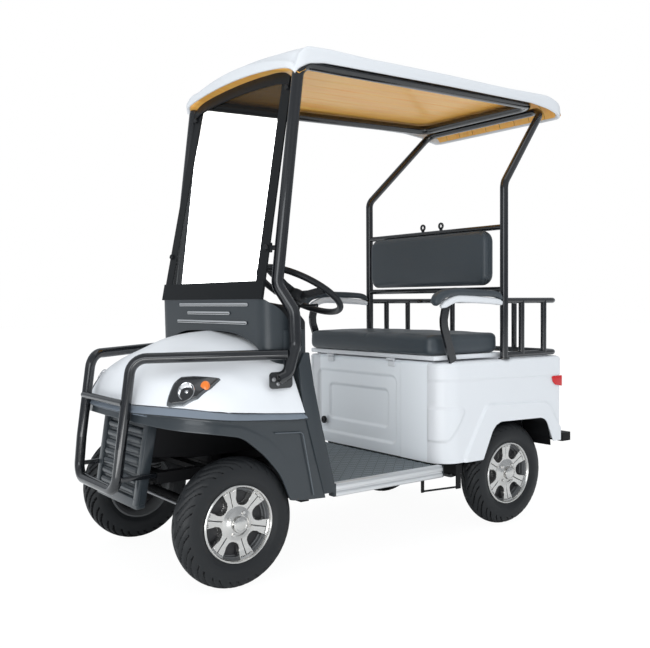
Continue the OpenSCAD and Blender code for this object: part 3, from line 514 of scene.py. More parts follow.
def rimMesh():
    # polar height field for the outer face, with turned barrel and hub cap
    steps = rimLook["steps"]
    radii = np.concatenate([np.linspace(0.026, 0.126, 64), [0.1265, 0.1272, 0.128]])
    angles = np.linspace(0, 2 * math.pi, steps, endpoint=False)
    r, a = np.meshgrid(radii, angles, indexing="ij")
    turn = (a / (2 * math.pi) * rimLook["spokes"]) % 1
    offset = (turn - 0.5) * 2 * math.pi / rimLook["spokes"]
    u, v = r * np.cos(offset), r * np.sin(offset)
    shape = [(0.066, 0), (0.0675, 0.0105), (0.073, 0.0185), (0.083, 0.0245), (0.096, 0.028), (0.109, 0.031),
        (0.119, 0.035), (0.1245, 0.033), (0.1262, 0.02), (0.1268, 0)]
    pocket = inside(np.stack([u, v], -1), shape + [(x, -y) for x, y in shape[-2:0:-1]])
    height = np.interp(r, [0.026, 0.034, 0.045, 0.06, 0.1, 0.122, 0.128],
        [0.044, 0.043, 0.036, 0.031, 0.034, 0.037, 0.041])
    spokeTurn = ((turn + 0.5) % 1 - 0.5) * 2 * math.pi / rimLook["spokes"]
    grooveRun = ramp(r - 0.058, 0.004) * (1 - ramp(r - 0.121, 0.003))
    groove = (1 - ramp(np.abs(r * spokeTurn) - 0.0011, 0.0016)) * grooveRun
    marks = np.zeros_like(r)
    for side in (-0.021, -0.014, -0.007, 0.007, 0.014, 0.021):
        marks = marks + (1 - ramp(np.hypot(r * spokeTurn - side, r - 0.1195) - 0.0017, 0.0014))
    marks = np.clip(marks, 0, 1)
    height = height - rimLook["pocketDepth"] * ramp(pocket, 0.003)
    height = height - 0.0035 * groove - 0.003 * marks
    grid = np.stack([r * np.cos(a), r * np.sin(a), height], 2)
    face = gridObject("rim face", grid, closed=True, smooth=38)
    face.data.materials.append(look["alloy"])
    # the pocket walls, spoke grooves and dimples get a near-black finish, painted shade in these recesses
    face.data.materials.append(look["pocketShade"])
    dark = (pocket > 0.0012) | (groove > 0.6) | (marks > 0.6)
    for polygon in face.data.polygons:
        i, j = divmod(polygon.vertices[0], steps)
        if dark[i, j]:
            polygon.material_index = 1
    opened(face, (pocket > 0.0035).ravel())
    lip = turned("rim lip", [(0.1262, 0.039), (0.1272, 0.0415), (0.1285, 0.0455), (0.131, 0.0485),
        (0.1345, 0.0482), (0.1372, 0.0455), (0.1368, 0.0425), (0.134, 0.0415)], 192)
    lip.data.materials.append(look["alloy"])
    barrel = turned("rim barrel", [(0.1368, 0.0425), (0.128, 0.038), (0.1235, 0.03), (0.1225, 0.026),
        (0.1185, 0.024), (0.118, 0.012), (0.1135, 0.01), (0.113, -0.02), (0.122, -0.036), (0.134, -0.0405),
        (0.1378, -0.043), (0.1372, -0.047), (0.131, -0.0478), (0.126, -0.044), (0.118, -0.034),
        (0.108, -0.018), (0.108, 0.006)], 192)
    barrel.data.materials.append(look["castMetal"])
    cap = turned("hub cap", [(0.0305, 0.036), (0.0295, 0.052), (0.0275, 0.056), (0.0215, 0.0585),
        (0.0205, 0.0575), (0.012, 0.0595), (0.0005, 0.0598)], 72)
    cap.data.materials.append(look["alloy"])
    parts = [face, lip, barrel, cap]
    for k in range(4):
        turn = math.radians(45 + 90 * k)
        nut = turned("nut", [(0.0001, 0.044), (0.0055, 0.044), (0.0068, 0.0425), (0.0068, 0.033)], 6, 20)
        nut.data.transform(Matrix.Translation((0.0425 * math.cos(turn), 0.0425 * math.sin(turn), 0)))
        nut.data.materials.append(look["alloy"])
        parts.append(nut)
    back = turned("brake drum", [(0.0005, -0.03), (0.07, -0.03), (0.078, -0.026), (0.082, -0.012),
        (0.082, 0.004), (0.03, 0.008)], 96)
    back.data.materials.append(look["castMetal"])
    # a near-black disc behind the open pockets, painted shade inside the wheel
    shadeDisc = turned("rim web", [(0.025, 0.006), (0.112, 0.0085), (0.112, 0.0065), (0.025, 0.003)], 96)
    shadeDisc.data.materials.append(look["pocketShade"])
    return joined("rim", parts + [back, shadeDisc])


tyreProto, rimProto = tyreMesh(), rimMesh()
outward(tyreProto)
wheelTurns = {"front_left": 16, "front_right": 40, "rear_left": 3, "rear_right": 31}
for name, turn in wheelTurns.items():
    low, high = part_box(name + "_tyre")
    centre = (low + high) / 2
    side = 1 if "left" in name else -1
    spot = Matrix.Translation(centre) @ Matrix.Rotation(math.radians(90 * side), 4,
        "Y") @ Matrix.Rotation(math.radians(turn), 4, "Z")
    for proto, kind, slot in ((tyreProto, "tyre", "tyre_rubber"), (rimProto, "rim", "machined_alloy")):
        piece = bpy.data.objects.new(name + " " + kind, proto.data.copy())
        scene.collection.objects.link(piece)
        if kind == "tyre" and side < 0:
            piece.data.transform(Matrix.Scale(-1, 4, (0, 1, 0)))
            piece.data.flip_normals()
        piece.data.transform(spot)
        place(piece, None, name + "_wheel", [name + "_" + kind])
for proto in (tyreProto, rimProto):
    bpy.data.objects.remove(proto)
print("wheels ready")

# bonnet, wings and grille

hoodLook = {"thickness": 0.004}
hoodRows = [[(0, -.280, .642), (.130, -.275, .642), (.245, -.252, .645), (.330, -.222, .646),
    (.402, -.176, .643), (.452, -.112, .634), (.472, -.050, .627)],
    [(0, -.266, .695), (.130, -.258, .693), (.238, -.234, .690), (.328, -.196, .684), (.404, -.145, .672),
    (.454, -.084, .652), (.475, -.028, .625)],
    [(0, -.243, .750), (.130, -.232, .744), (.228, -.207, .732), (.320, -.163, .718), (.400, -.104, .700),
    (.454, -.045, .668), (.477, 0, .622)], [(0, -.192, .795), (.128, -.182, .783), (.218, -.158, .762),
    (.307, -.106, .745), (.392, -.045, .722), (.453, .005, .680), (.477, .042, .618)],
    [(0, -.124, .832), (.126, -.114, .812), (.214, -.090, .788), (.302, -.044, .764), (.390, .010, .738),
    (.452, .052, .690), (.477, .092, .613)], [(0, -.044, .866), (.126, -.034, .836), (.214, -.010, .816),
    (.300, .026, .790), (.388, .074, .750), (.450, .110, .700), (.477, .142, .609)],
    [(0, .060, .884), (.126, .064, .866), (.214, .078, .850), (.300, .102, .826), (.386, .138, .776),
    (.445, .165, .712), (.477, .192, .605)], [(0, .208, .894), (.126, .208, .882), (.214, .209, .872),
    (.300, .211, .857), (.386, .218, .826), (.437, .226, .766), (.477, .264, .600)]]
hoodGrid = smoothed(wholeRows(hoodRows), 8, 8)
hood = gridObject("bonnet", hoodGrid, hoodLook["thickness"])
place(hood, "whitePaint", "cart", ["hood"])


def surfaceShell(name, outline, sign, lift, low=-0.002, steps=40):
    # patch of the bonnet inside an outline of (x, station) points, lifted off its surface
    grid = hoodGrid[:, hoodGrid.shape[1] // 2:]
    normals = gridNormals(grid)
    fine = through(np.swapaxes(through(np.concatenate([grid, normals], 2), 4), 0, 1), 4).swapaxes(0, 1)
    spot, normal = fine[..., :3], fine[..., 3:]
    flat = np.stack([spot[..., 0], spot[..., 1] - frontY], -1)
    depth = inside(flat, outline)
    rows, cols = depth.shape
    keep = depth > 0
    verts, index, faces = [], {}, []
    for i in range(rows - 1):
        for j in range(cols - 1):
            if keep[i, j] and keep[i + 1, j] and keep[i, j + 1] and keep[i + 1, j + 1]:
                corners = []
                for key in ((i, j), (i, j + 1), (i + 1, j + 1), (i + 1, j)):
                    if key not in index:
                        index[key] = len(verts)
                        height = low + (lift - low) * float(ramp(depth[key] - 0.003, 0.006))
                        p = spot[key] + normal[key] * height
                        verts.append((p[0] * sign, p[1], p[2]))
                    corners.append(index[key])
                faces.append(tuple(corners if sign > 0 else corners[::-1]))
    return solid(name, verts, faces, 50)


lampOutline = through([(.330, -.215), (.322, -.205), (.303, -.174), (.292, -.140), (.318, -.098),
    (.376, -.030), (.386, -.030), (.408, -.082), (.413, -.137), (.394, -.181), (.354, -.213),
    (.336, -.219)], 1)


def shrunk(outline, amount):
    middle = outline.mean(0)
    return middle + (outline - middle) * (1 - amount / np.linalg.norm(outline - middle, axis=1,
        keepdims=True))


for sign, side in ((1, "left"), (-1, "right")):
    rim = surfaceShell(side + " lamp rim", lampOutline, sign, 0.0045)
    glassPart = surfaceShell(side + " lamp housing", shrunk(lampOutline, 0.006), sign, 0.0065)
    rim.data.materials.append(look["lampRim"])
    glassPart.data.materials.append(look["lampBlack"])
    bowlSpot = at(.369 * sign, -.155, .693)
    facing = Vector((0.62 * sign, -0.62, 0.45)).normalized()
    turnTo = facing.to_track_quat("Z", "Y").to_matrix().to_4x4()
    bowl = turned("bowl", [(0.0001, -0.012), (0.009, -0.011), (0.017, -0.006), (0.022, 0.001),
        (0.0245, 0.0055), (0.0265, 0.006), (0.0275, 0.003), (0.0275, -0.004)], 48)
    bowl.data.transform(Matrix.Translation(bowlSpot + facing * 0.007) @ turnTo @ Matrix.Diagonal((1.1, 1.25,
        1, 1)))
    bowl.data.materials.append(look["chrome"])
    bulb = turned("bulb", [(0.0001, 0.006), (0.006, 0.004), (0.009, -0.002), (0.009, -0.012)], 24)
    bulb.data.transform(Matrix.Translation(bowlSpot + facing * 0.004) @ turnTo)
    bulb.data.materials.append(look["chrome"])
    signal = turned("signal", [(0.0001, 0.008), (0.008, 0.0072), (0.014, 0.004), (0.017, -0.004)], 36)
    signal.data.transform(Matrix.Translation(at(.388 * sign, -.094,
        .709) + facing * 0.009) @ turnTo @ Matrix.Diagonal((1.0, 1.3, 1, 1)))
    signal.data.materials.append(look["amberLens"])
    lamp = joined(side + " headlamp", [rim, glassPart, bowl, bulb, signal])
    place(lamp, None, "cart", ["headlamps"])

fenderLook = {"thickness": 0.004}
fenderEdge = [((0, -.294, .640), (0, -.302, .588)), ((.130, -.290, .640), (.130, -.298, .588)),
    ((.250, -.265, .642), (.252, -.272, .580)), ((.338, -.236, .643), (.342, -.242, .573)),
    ((.410, -.188, .640), (.416, -.192, .565)), ((.460, -.120, .632), (.464, -.122, .556)),
    ((.4785, -.056, .624), (.4785, -.056, .545)), ((.4785, .006, .618), (.4785, .002, .530)),
    ((.4785, .060, .614), (.4785, .058, .490)), ((.4785, .104, .611), (.4785, .104, .448)),
    ((.4785, .144, .608), (.4785, .160, .380)), ((.4785, .178, .605), (.4785, .196, .302)),
    ((.4785, .200, .604), (.4785, .212, .286)), ((.4785, .236, .602), (.4785, .285, .279)),
    ((.4785, .268, .600), (.4785, .358, .275))]


def fenderGrid():
    # rows from the lower edge up; the top band stands proud of the face below it
    levels = [(1, -.014), (1, -.008), (.985, -.006), (.9, -.006), (.75, -.0065), (.6, -.007), (.5, -.008),
        (.45, -.008), (.425, -.005), (.405, .0005), (.375, .0045), (.33, .0045), (.25, .001), (.16, -.003),
        (.08, -.007), (.02, -.011), (-.01, -.024)]
    rows = []
    for share, push in levels:
        row = []
        for top, low in fenderEdge:
            x, s, z = (t + (l - t) * max(share, 0) for t, l in zip(top, low))
            tall = top[2] - low[2]
            if 0 < share < 0.46:
                # the band keeps one height round the wing
                z = top[2] - share * 0.066
                t = (top[2] - z) / tall
                x, s = top[0] + (low[0] - top[0]) * t, top[1] + (low[1] - top[1]) * t
            row.append([x, s, z, push])
        rows.append(row)
    rows = np.array(rows)
    edge = rows[0, :, :2]
    way = np.gradient(edge, axis=0)
    normal = np.stack([way[:, 1], -way[:, 0]], 1)
    normal /= np.linalg.norm(normal, axis=1, keepdims=True)
    normal[0] = (0, -1)
    normal[7:] = (1, 0)
    out = rows.copy()
    out[..., 0] += normal[None, :, 0] * rows[..., 3]
    out[..., 1] += normal[None, :, 1] * rows[..., 3]
    return wholeRows([[tuple(p[:3]) for p in row] for row in out])


fenderShape = smoothed(fenderGrid(), 6, 3)
fender = gridObject("front wings", fenderShape, fenderLook["thickness"], 50)
place(fender, "greyPlastic", "cart", ["front_fender"])
# the flat top of the ledge is a paler grey: a painted highlight where it faces up into the light
fender.data.materials.append(look["ledgeHighlight"])
for polygon in fender.data.polygons:
    polygon.material_index = int(polygon.normal.z > 0.28 and polygon.center.z > 0.58)
# the thin paler line along each wing recess is a painted highlight on the recess edge
for sign in (1, -1):
    wing = sign * .4785
    path = rounded([at(wing, .133, .538), at(wing, .252, .530), at(wing, .300, .294)], 0.018)
    seam = swept("wing recess line", path, circle(0.0022, 8))
    place(seam, "recessHighlight", "cart")

grilleLook = {"slats": 7, "halfWidth": 0.155}
grilleTop, grilleLow = (-.216, .565), (-.262, .285)


def onGrille(t, out=0.0):
    s = grilleTop[0] + (grilleLow[0] - grilleTop[0]) * t - out * 0.986
    return s, grilleTop[1] + (grilleLow[1] - grilleTop[1]) * t + out * 0.16


parts = []
backing = [at(x, *onGrille(t, -0.006)) for x, t in ((-.19, 0), (.19, 0), (.19, 1), (-.19, 1))]
parts.append(plate("grille backing", backing, (0, 0.003, 0)))
for k in range(grilleLook["slats"]):
    s, z = onGrille(0.10 + 0.125 * k, -0.004)
    path = rounded([at(-grilleLook["halfWidth"], s + 0.012, z), at(-grilleLook["halfWidth"] + 0.012, s, z),
        at(grilleLook["halfWidth"] - 0.012, s, z), at(grilleLook["halfWidth"], s + 0.012, z)], 0.008)
    parts.append(swept("grille slat", path, [(u * 0.0115 if u > 0 else u * 0.009, v * 0.0135) for u,
        v in circle(1.0, 18)]))
for sign in (1, -1):
    top0, low0 = onGrille(-0.02, 0.006), onGrille(1.02, 0.006)
    outline = [at(sign * .162, *top0), at(sign * .196, *top0), at(sign * .188, *low0),
        at(sign * .158, *low0)]
    parts.append(plate("grille side", outline, (0, 0.04, 0.004), 0.004))
low0 = onGrille(1.0, 0.004)
parts.append(plate("grille foot", [at(-.188, low0[0], low0[1] + 0.02), at(.188, low0[0], low0[1] + 0.02),
    at(.182, low0[0] + 0.004, low0[1] - 0.02), at(-.182, low0[0] + 0.004, low0[1] - 0.02)],
    (0, 0.035, 0.003), 0.004))
grille = joined("nose grille", parts)
place(grille, "greyPlastic", "cart", ["nose_grille"])
print("nose ready")

# tubes

tubeLook = {"bar": 0.019, "canopy": 0.0225, "pillar": 0.018, "rack": 0.0125}
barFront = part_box("bull_bar")[0].y - frontY + tubeLook["bar"]


def across(points):
    return list(points) + [Vector((-p[0], p[1], p[2])) for p in reversed([Vector(q) for q in points])]


parts = [tube("bar loop", across([at(.452, .206, .813), at(.185, -.276, .805), at(.185, -.320, .490),
    at(.178, barFront, .340)]), tubeLook["bar"], 0.06),
    tube("bar cross", [at(-.185, -.309, .650), at(.185, -.309, .650)], 0.0125)]
for sign in (1, -1):
    parts.append(block("bar bracket", at(min(sign * .192, sign * .205), barFront + .01, .377),
        at(max(sign * .192, sign * .205), -.192, .393)))
bullBar = joined("bull bar", parts)
place(bullBar, "blackTube", "cart", ["bull_bar"])

footLook = {"boltRadius": 0.008}
parts = [tube("canopy hoop", across([at(.470, .150, .727), at(.468, .196, .742), at(.453, .240, .845),
    at(.448, .238, .968), at(.400, .197, 1.064), at(.400, .300, 1.884), at(.359, 1.663, 1.920)]),
    tubeLook["canopy"], 0.06)]
for sign in (1, -1):
    outline = [at(sign * .466, frontS, z) for frontS, z in roundedOutline(.116, .694, .214, .754, .014)]
    parts.append(plate("foot plate", outline, (sign * 0.006, 0, 0), 0.0015))
hoop = joined("canopy hoop", parts)
place(hoop, "blackTube", "cart", ["roof_frame"])
bolts = []
for sign in (1, -1):
    for s, z in ((.132, .728), (.150, .712)):
        head = turned("bolt", [(0.0001, 0.007), (0.006, 0.0065), (footLook["boltRadius"], 0.004),
            (footLook["boltRadius"], 0)], 24)
        head.data.transform(Matrix.Translation(at(sign * .472, s,
            z)) @ Matrix.Rotation(math.radians(90 * sign), 4, "Y"))
        bolts.append(head)
boltSet = joined("foot bolts", bolts)
place(boltSet, "steel", "cart")

pillarY, pillarX = rearY - 0.048, 0.461
parts = [tube("rear hoop", across([Vector((pillarX, pillarY, .749)), Vector((pillarX, pillarY, 1.52)),
    at(.378, 1.716, 1.90)]), tubeLook["pillar"], 0.06)]
for z in (1.052, 1.328):
    parts.append(tube("cross tube", [Vector((-pillarX, pillarY, z)), Vector((pillarX, pillarY, z))],
        tubeLook["rack"]))
for x in (-.054, .070):
    ring = turned("eye", [(0.0075, -0.003), (0.0165, -0.003), (0.017, 0), (0.0165, 0.003), (0.0075, 0.003),
        (0.0075, -0.003)], 32)
    ring.data.transform(Matrix.Translation((x, pillarY, 1.3605)) @ Matrix.Rotation(math.radians(90), 4,
        "X"))
    parts += [ring, block("eye neck", (x - .009, pillarY - .003, 1.335), (x + .009, pillarY + .003, 1.352))]
for sign in (1, -1):
    disc = turned("base disc", [(0.0001, 0.0055), (0.0245, 0.0055), (0.0255, 0.0045), (0.0255, 0)], 40)
    disc.data.transform(Matrix.Translation((sign * pillarX, pillarY, bodyTop)))
    parts.append(disc)
rearHoop = joined("rear hoop", parts)
place(rearHoop, "blackTube", "cart", ["rear_frame"])

rackLow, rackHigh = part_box("cargo_rack")
backY = rackHigh.y - tubeLook["rack"]
lowZ, highZ = rackLow.z + tubeLook["rack"], rackHigh.z - tubeLook["rack"]
parts = [tube("rack rail", across([Vector((pillarX, pillarY + .014, z)), Vector((pillarX, backY, z))]),
    tubeLook["rack"], 0.04) for z in (lowZ, highZ)]
for x, y in ((pillarX, rearY + .069), (-pillarX, rearY + .069), (pillarX, rearY + .223),
        (-pillarX, rearY + .223), (.210, backY), (-.210, backY)):
    parts.append(tube("rack post", [Vector((x, y, lowZ)), Vector((x, y, highZ))],
        tubeLook["rack"] + 0.0008))
rack = joined("cargo rack", parts)
place(rack, "blackTube", "cart", ["cargo_rack"])
print("tubes ready")

# roof and windscreen

roofLook = {"planks": 9}
roofTop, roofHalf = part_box("roof_shell")[1].z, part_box("roof_shell")[1].x
roofFront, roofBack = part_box("roof_shell")[0].y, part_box("roof_shell")[1].y


def roofHeight(u, v):
    crown = np.interp(v, [0, .008, .017, .04, .11, .29, .51, .73, .86, .94, 1],
        [-.046, -.036, -.028, -.019, -.011, -.004, 0, -.001, -.006, -.018, -.050])
    drop = np.interp(v, [0, .008, .017, .04, .11, .24, .74, .86, .92, 1],
        [.064, .048, .034, .022, .026, .034, .034, .024, .012, .008])
    return roofTop + crown - drop * abs(u) ** (3 - ramp(0.05 - v, 0.1))


def roofPoint(u, v, z, inset=0.0, radius=0.06):
    # plan position with rounded corners
    halfX, halfY = roofHalf - inset, (roofBack - roofFront) / 2 - inset
    x, y = u * halfX, (2 * v - 1) * halfY
    ex, ey = abs(x) - (halfX - radius), abs(y) - (halfY - radius)
    if ex > 0 and ey > 0:
        reach, size = max(ex, ey), math.hypot(ex, ey)
        x = math.copysign(halfX - radius + ex * reach / size, x)
        y = math.copysign(halfY - radius + ey * reach / size, y)
    return (x, (roofFront + roofBack) / 2 + y, z)


def frontRim(u):
    return roofTop - .098 - .036 * u * u - .018 * abs(u) ** 16


def roofRim(u, v):
    if v == 0:
        return frontRim(u)
    return roofTop + np.interp(v, [0, .012, .045, .09, .14, .51, .85, .93, 1],
        [-.152, -.136, -.110, -.099, -.097, -.087, -.083, -.095, -.123])


roofU = np.concatenate([np.linspace(-1, -.9, 7), np.linspace(-.86, .86, 31), np.linspace(.9, 1, 7)])
roofV = np.concatenate([[0], np.linspace(0.006, 0.12, 12), np.linspace(0.15, 0.85, 30),
    np.linspace(0.88, 0.994, 10), [1]])
topGrid = np.array([[roofPoint(u, v, roofHeight(u, v), 0.03) for u in roofU] for v in roofV])
roofSkin = gridObject("roof top", topGrid, 0)
ringTop = [(u, roofV[0]) for u in roofU] + [(1, v) for v in roofV[1:]] + [(u, roofV[-1])
    for u in roofU[-2::-1]] + [(-1, v) for v in roofV[-2:0:-1]]
band = []
for share, inset in ((0, 0.03), (0.02, 0.022), (0.06, 0.014), (0.13, 0.0075), (0.24, 0.003), (0.4, 0.0008),
        (0.6, 0), (0.85, 0.0008), (0.965, 0.0015), (1, 0.004), (1.005, 0.008), (0.98, 0.011),
        (0.85, 0.0125), (0.5, 0.0135)):
    band.append([roofPoint(u, v, roofHeight(u, v) + (roofRim(u, v) - roofHeight(u, v)) * share, inset)
        for u, v in ringTop])
rimSkin = gridObject("roof edge", np.array(band), closed=True, smooth=60)
outward(rimSkin)
roof = joined("roof", [roofSkin, rimSkin])
applied(roof, "WELD", merge_threshold=0.0005)
roof.data.shade_smooth()
roof.data.set_sharp_from_angle(angle=math.radians(70))
place(roof, "whitePaint", "cart", ["roof_shell"])

lipRows = []
for u in np.linspace(-1, 1, 45):
    x = u * (roofHalf - .012)
    head = 1.885 - .022 * (x / .368) ** 2 - .024 * min(abs(x / .368), 1.12) ** 12
    head = max(head, frontRim(u) - .010 + .028 * ramp(abs(u) - .95, .08))
    side = max(abs(x) - .37, 0)
    inner = min(1.9125, roofHeight(u, .035) - .022)
    tuck = math.copysign(min(abs(x), roofHalf - .046), x)
    rim = frontRim(u)
    lipRows.append([
        at(x, .256 + side * .5, rim + .004),
        at(x, .258 + side * .5, rim - .0005),
        at(x, .278 + side * .4, (rim + head) / 2 + .001),
        at(x, .300 + side * .3, head),
        at(tuck, .306 + side * .3, max(head + .002, inner - .01)),
        at(tuck, .308 + side * .35, inner)])
lip = gridObject("front lip lining", np.array([[tuple(p) for p in row] for row in lipRows]), 0.0, 60)
place(lip, "wood", "cart")

linerParts = []
linerHalf = roofHalf - 0.014


def tucked(x, s, z):
    # the boards' front corners are cut back inside the rounded roof
    return at(x, s + 0.8 * max(abs(x) - linerHalf + 0.09, 0) * ramp(0.40 - s, 0.09), z)


plankWide = 2 * linerHalf / roofLook["planks"]
linerLine = [(.306, 1.909), (.33, 1.9125), (.7, 1.922), (1.2, 1.935), (1.66, 1.9475), (1.70, 1.949),
    (1.75, 1.938), (1.79, 1.905), (1.803, 1.876)]
for k in range(roofLook["planks"]):
    x0, x1 = -linerHalf + plankWide * k + 0.0009, -linerHalf + plankWide * (k + 1) - 0.0009
    line = through(linerLine, 5)
    verts, faces = [], []
    for s, z in line:
        verts += [tucked(x0, s, z + 0.0012), tucked(x0 + 0.0015, s, z), tucked(x1 - 0.0015, s, z),
            tucked(x1, s, z + 0.0012)]
    for i in range(len(line) - 1):
        faces += [(4 * i + j, 4 * i + j + 1, 4 * i + j + 5, 4 * i + j + 4) for j in range(3)]
    linerParts.append(solid("plank", verts, faces, 30))
seamBack = solid("seam back", [tucked(x, s, z + 0.003) for s,
    z in through(linerLine, 5) for x in (-linerHalf, linerHalf)],
    [(2 * i, 2 * i + 1, 2 * i + 3, 2 * i + 2) for i in range(len(through(linerLine, 5)) - 1)], 30)
liner = joined("roof planks", linerParts)
place(liner, "wood", "cart", ["roof_liner"])
place(seamBack, "softBlack", "cart")

screenLook = {"band": 0.060, "headBand": 0.045, "footBand": 0.068, "tintFoot": 1.68}
screenFoot, screenHead = at(0, .134, 1.012), at(0, .300, 1.894)
screenRise = (screenHead - screenFoot)
screenLong = screenRise.length
screenUp = screenRise.normalized()
screenOut = Vector((0, -screenUp.z, screenUp.y))


def onScreen(x, t, out=0.0):
    return screenFoot + Vector((x, 0, 0)) + screenUp * t + screenOut * out


def screenTopAt(x):
    # arched head of the screen
    u = min(abs(x) / 0.368, 1)
    return screenLong - 0.011 - 0.022 * u * u - 0.024 * u ** 12


def screenHalf(t):
    return 0.400 - 0.032 * t / screenLong


sheetRows = []
for share in np.linspace(0, 1, 20):
    row = []
    for u in np.linspace(-1, 1, 33):
        x = u * screenHalf(share * screenLong)
        row.append(tuple(onScreen(x, share * screenTopAt(x))))
    sheetRows.append(row)
sheetGrid = np.array(sheetRows)
screen = gridObject("windscreen", sheetGrid[::-1], 0.0, 60)
place(screen, "glass", "cart", ["windscreen"])


def screenBand(name, rows, material, out=0.0015, thick=0.0055):
    grid = np.array([[tuple(onScreen(x, t, out)) for x, t in row] for row in rows])
    obj = gridObject(name, grid[::-1], thick, 60)
    return place(obj, material, "cart")


us = np.linspace(-1, 1, 49)
tintLow = (screenLook["tintFoot"] - screenFoot.z) / screenUp.z
topBand = [[(u * screenHalf(screenLong), screenTopAt(u * 0.368) - d) for u in us]
    for d in (screenLook["headBand"], 0.02, 0)]
tintAndShadeBand = [[(u * (screenHalf(screenLong) - 0.01), (screenTopAt(u * 0.368) - 0.03) * (1 - w) + tintLow * w)
    for u in us] for w in (1, 0.75, 0.5, 0.25, 0.0)]
footBand = [[(u * 0.400, d) for u in us] for d in (0, 0.03, screenLook["footBand"])]
sideBands = []
for sign in (1, -1):
    rows = []
    for t in np.linspace(0, screenTopAt(.368), 24):
        half = screenHalf(t)
        rows.append([(sign * (half - w), min(t, screenTopAt(half)))
            for w in (0.0, screenLook["band"])][::sign])
    sideBands.append(rows)
border = screenBand("screen head band", topBand, "edgeBlack")
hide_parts("windscreen_border")
# the dark band across the top of the screen is a tint that also paints the shade on the roof's underside
# behind it
screenBand("screen tint", tintAndShadeBand, "tintAndShade", 0.0008, 0.0)
screenBand("screen foot band", footBand, "edgeBlack")
for rows in sideBands:
    screenBand("screen side band", rows, "edgeBlack")
clampParts = []
for sign in (1, -1):
    for z in (1.20, 1.80):
        t = (z - screenFoot.z) / screenUp.z
        glassSpot = onScreen(sign * (screenHalf(t) - 0.016), t)
        tubeSpot = at(sign * .400, .197 + .103 * (z - 1.064) / .820, z)
        clampParts.append(tube("clamp arm", [glassSpot + screenOut * 0.006,
            glassSpot + Vector((0, 0.012, 0)), tubeSpot + Vector((-sign * 0.004, -0.006, 0))], 0.009))
        clampParts.append(block("clamp pad", glassSpot + Vector((-.014, .004, -.018)),
            glassSpot + Vector((.014, .016, .018)), .003))
        knob = turned("knob", [(0.0001, 0.012), (0.009, 0.011), (0.011, 0.008), (0.011, 0.001)], 24)
        knob.data.transform(Matrix.Translation(glassSpot) @ screenOut.to_track_quat("Z",
            "Y").to_matrix().to_4x4())
        clampParts.append(knob)
clamps = joined("screen clamps", clampParts)
place(clamps, "softBlack", "cart")
print("canopy ready")

# rear body

bodyLook = {"nearRadius": 0.095, "farRadius": 0.045, "low": 0.320, "tubFloor": 0.565}
bodyFront, bodyBack = rearY - 0.440, rearY + 0.330
archOutline = [(-.216, .300), (-.205, .330), (-.150, .440), (-.128, .462), (-.096, .474), (.172, .468),
    (.200, .460), (.218, .445), (.254, .370), (.262, .352)]
flareOutline = [(-.330, .20), (-.313, .349), (-.195, .536), (-.176, .549), (-.150, .553), (.196, .538),
    (.224, .532), (.245, .513), (.40, .30), (.40, .20)]
stepOutline = [(-.60, .416), (-.60, .558), (-.340, .553), (-.322, .547), (-.316, .530), (-.388, .424),
    (-.400, .415), (-.430, .413)]


def bodyPlan():
    # plan positions from the back right corner round the front to the back left one
    def sideLine(radius, tail=0.020):
        line = []
        for k in range(7):
            turn = math.radians(90 - 15 * k)
            line.append((bodyX - tail + tail * math.cos(turn), bodyBack - tail + tail * math.sin(turn),
                math.cos(turn), math.sin(turn)))
        for y in np.arange(bodyBack - tail - 0.006, bodyFront + radius, -0.006):
            line.append((bodyX, y, 1, 0))
        for k in range(25):
            turn = math.radians(90 * k / 24)
            line.append((bodyX - radius + radius * math.cos(turn),
                bodyFront + radius - radius * math.sin(turn), math.cos(turn), -math.sin(turn)))
        return line
    far, near = sideLine(bodyLook["farRadius"]), sideLine(bodyLook["nearRadius"])
    middle = [(x, bodyFront, 0, -1) for x in np.arange(-bodyX + bodyLook["farRadius"] + 0.004,
        bodyX - bodyLook["nearRadius"], 0.005)]
    return np.array([(-x, y, -nx, ny) for x, y, nx, ny in far] + middle + near[::-1])


plan = bodyPlan()
levels = 76
baseRow = []
for x, y, nx, ny in plan:
    s = y - rearY
    low = bodyLook["low"]
    if abs(nx) > 0.9:
        if -.216 < s < .262:
            low = np.interp(s, [p[0] for p in archOutline], [p[1] for p in archOutline])
        elif s >= .262:
            low = .352
    elif y > rearY:
        low = .352
    baseRow.append(low)
baseRow = np.maximum(np.array(baseRow), bodyLook["low"])
shares = np.linspace(0, 1, levels)
z = baseRow[None, :] + (bodyTop - 0.004 - baseRow[None, :]) * shares[:, None]
px, py = plan[None, :, 0] + 0 * z, plan[None, :, 1] + 0 * z
nx, ny = plan[None, :, 2] + 0 * z, plan[None, :, 3] + 0 * z
push = np.zeros_like(z)
sideUV = np.stack([py - rearY, z], -1)
onSide = np.abs(nx) > 0.02
push += np.where(np.abs(nx) > 0.9, 0.011 * ramp(inside(sideUV, flareOutline), 0.007), 0)
push += np.where(onSide & (py < rearY), 0.006 * ramp(inside(sideUV, stepOutline), 0.006), 0)
push += 0.003 * ramp(z - (0.668 - 0.012 * ramp(py - rearY, 0.8)), 0.005) * onSide
front = (ny < -0.99)
frontUV = np.stack([px, z], -1)
outerPanel = np.array(roundedOutline(-.398, .372, .182, .671, .034))
innerPanel = np.array(roundedOutline(-.309, .438, .121, .606, .022))
framePanel = np.array(roundedOutline(-.440, .30, .212, .9, .004))
sunk = 0.006 * ramp(inside(frontUV, outerPanel), 0.009) + 0.007 * ramp(inside(frontUV, innerPanel), 0.009)
push -= np.where(front, sunk + 0.003 * ramp(inside(frontUV, framePanel), 0.004), 0)
# the top edge is rolled inwards
roll = np.clip((z - (bodyTop - 0.016)) / 0.012, 0, 1)
push -= 0.007 * roll ** 2
skinGrid = np.stack([px + nx * (push - 0.001), py + ny * push, z], -1)
bodySkin = gridObject("body skin", skinGrid, 0.004, 50, closed=True)


def deckPlate(name, x0, y0, x1, y1, z0, z1):
    return block(name, (x0, y0, z0), (x1, y1, z1), 0.003, 3)


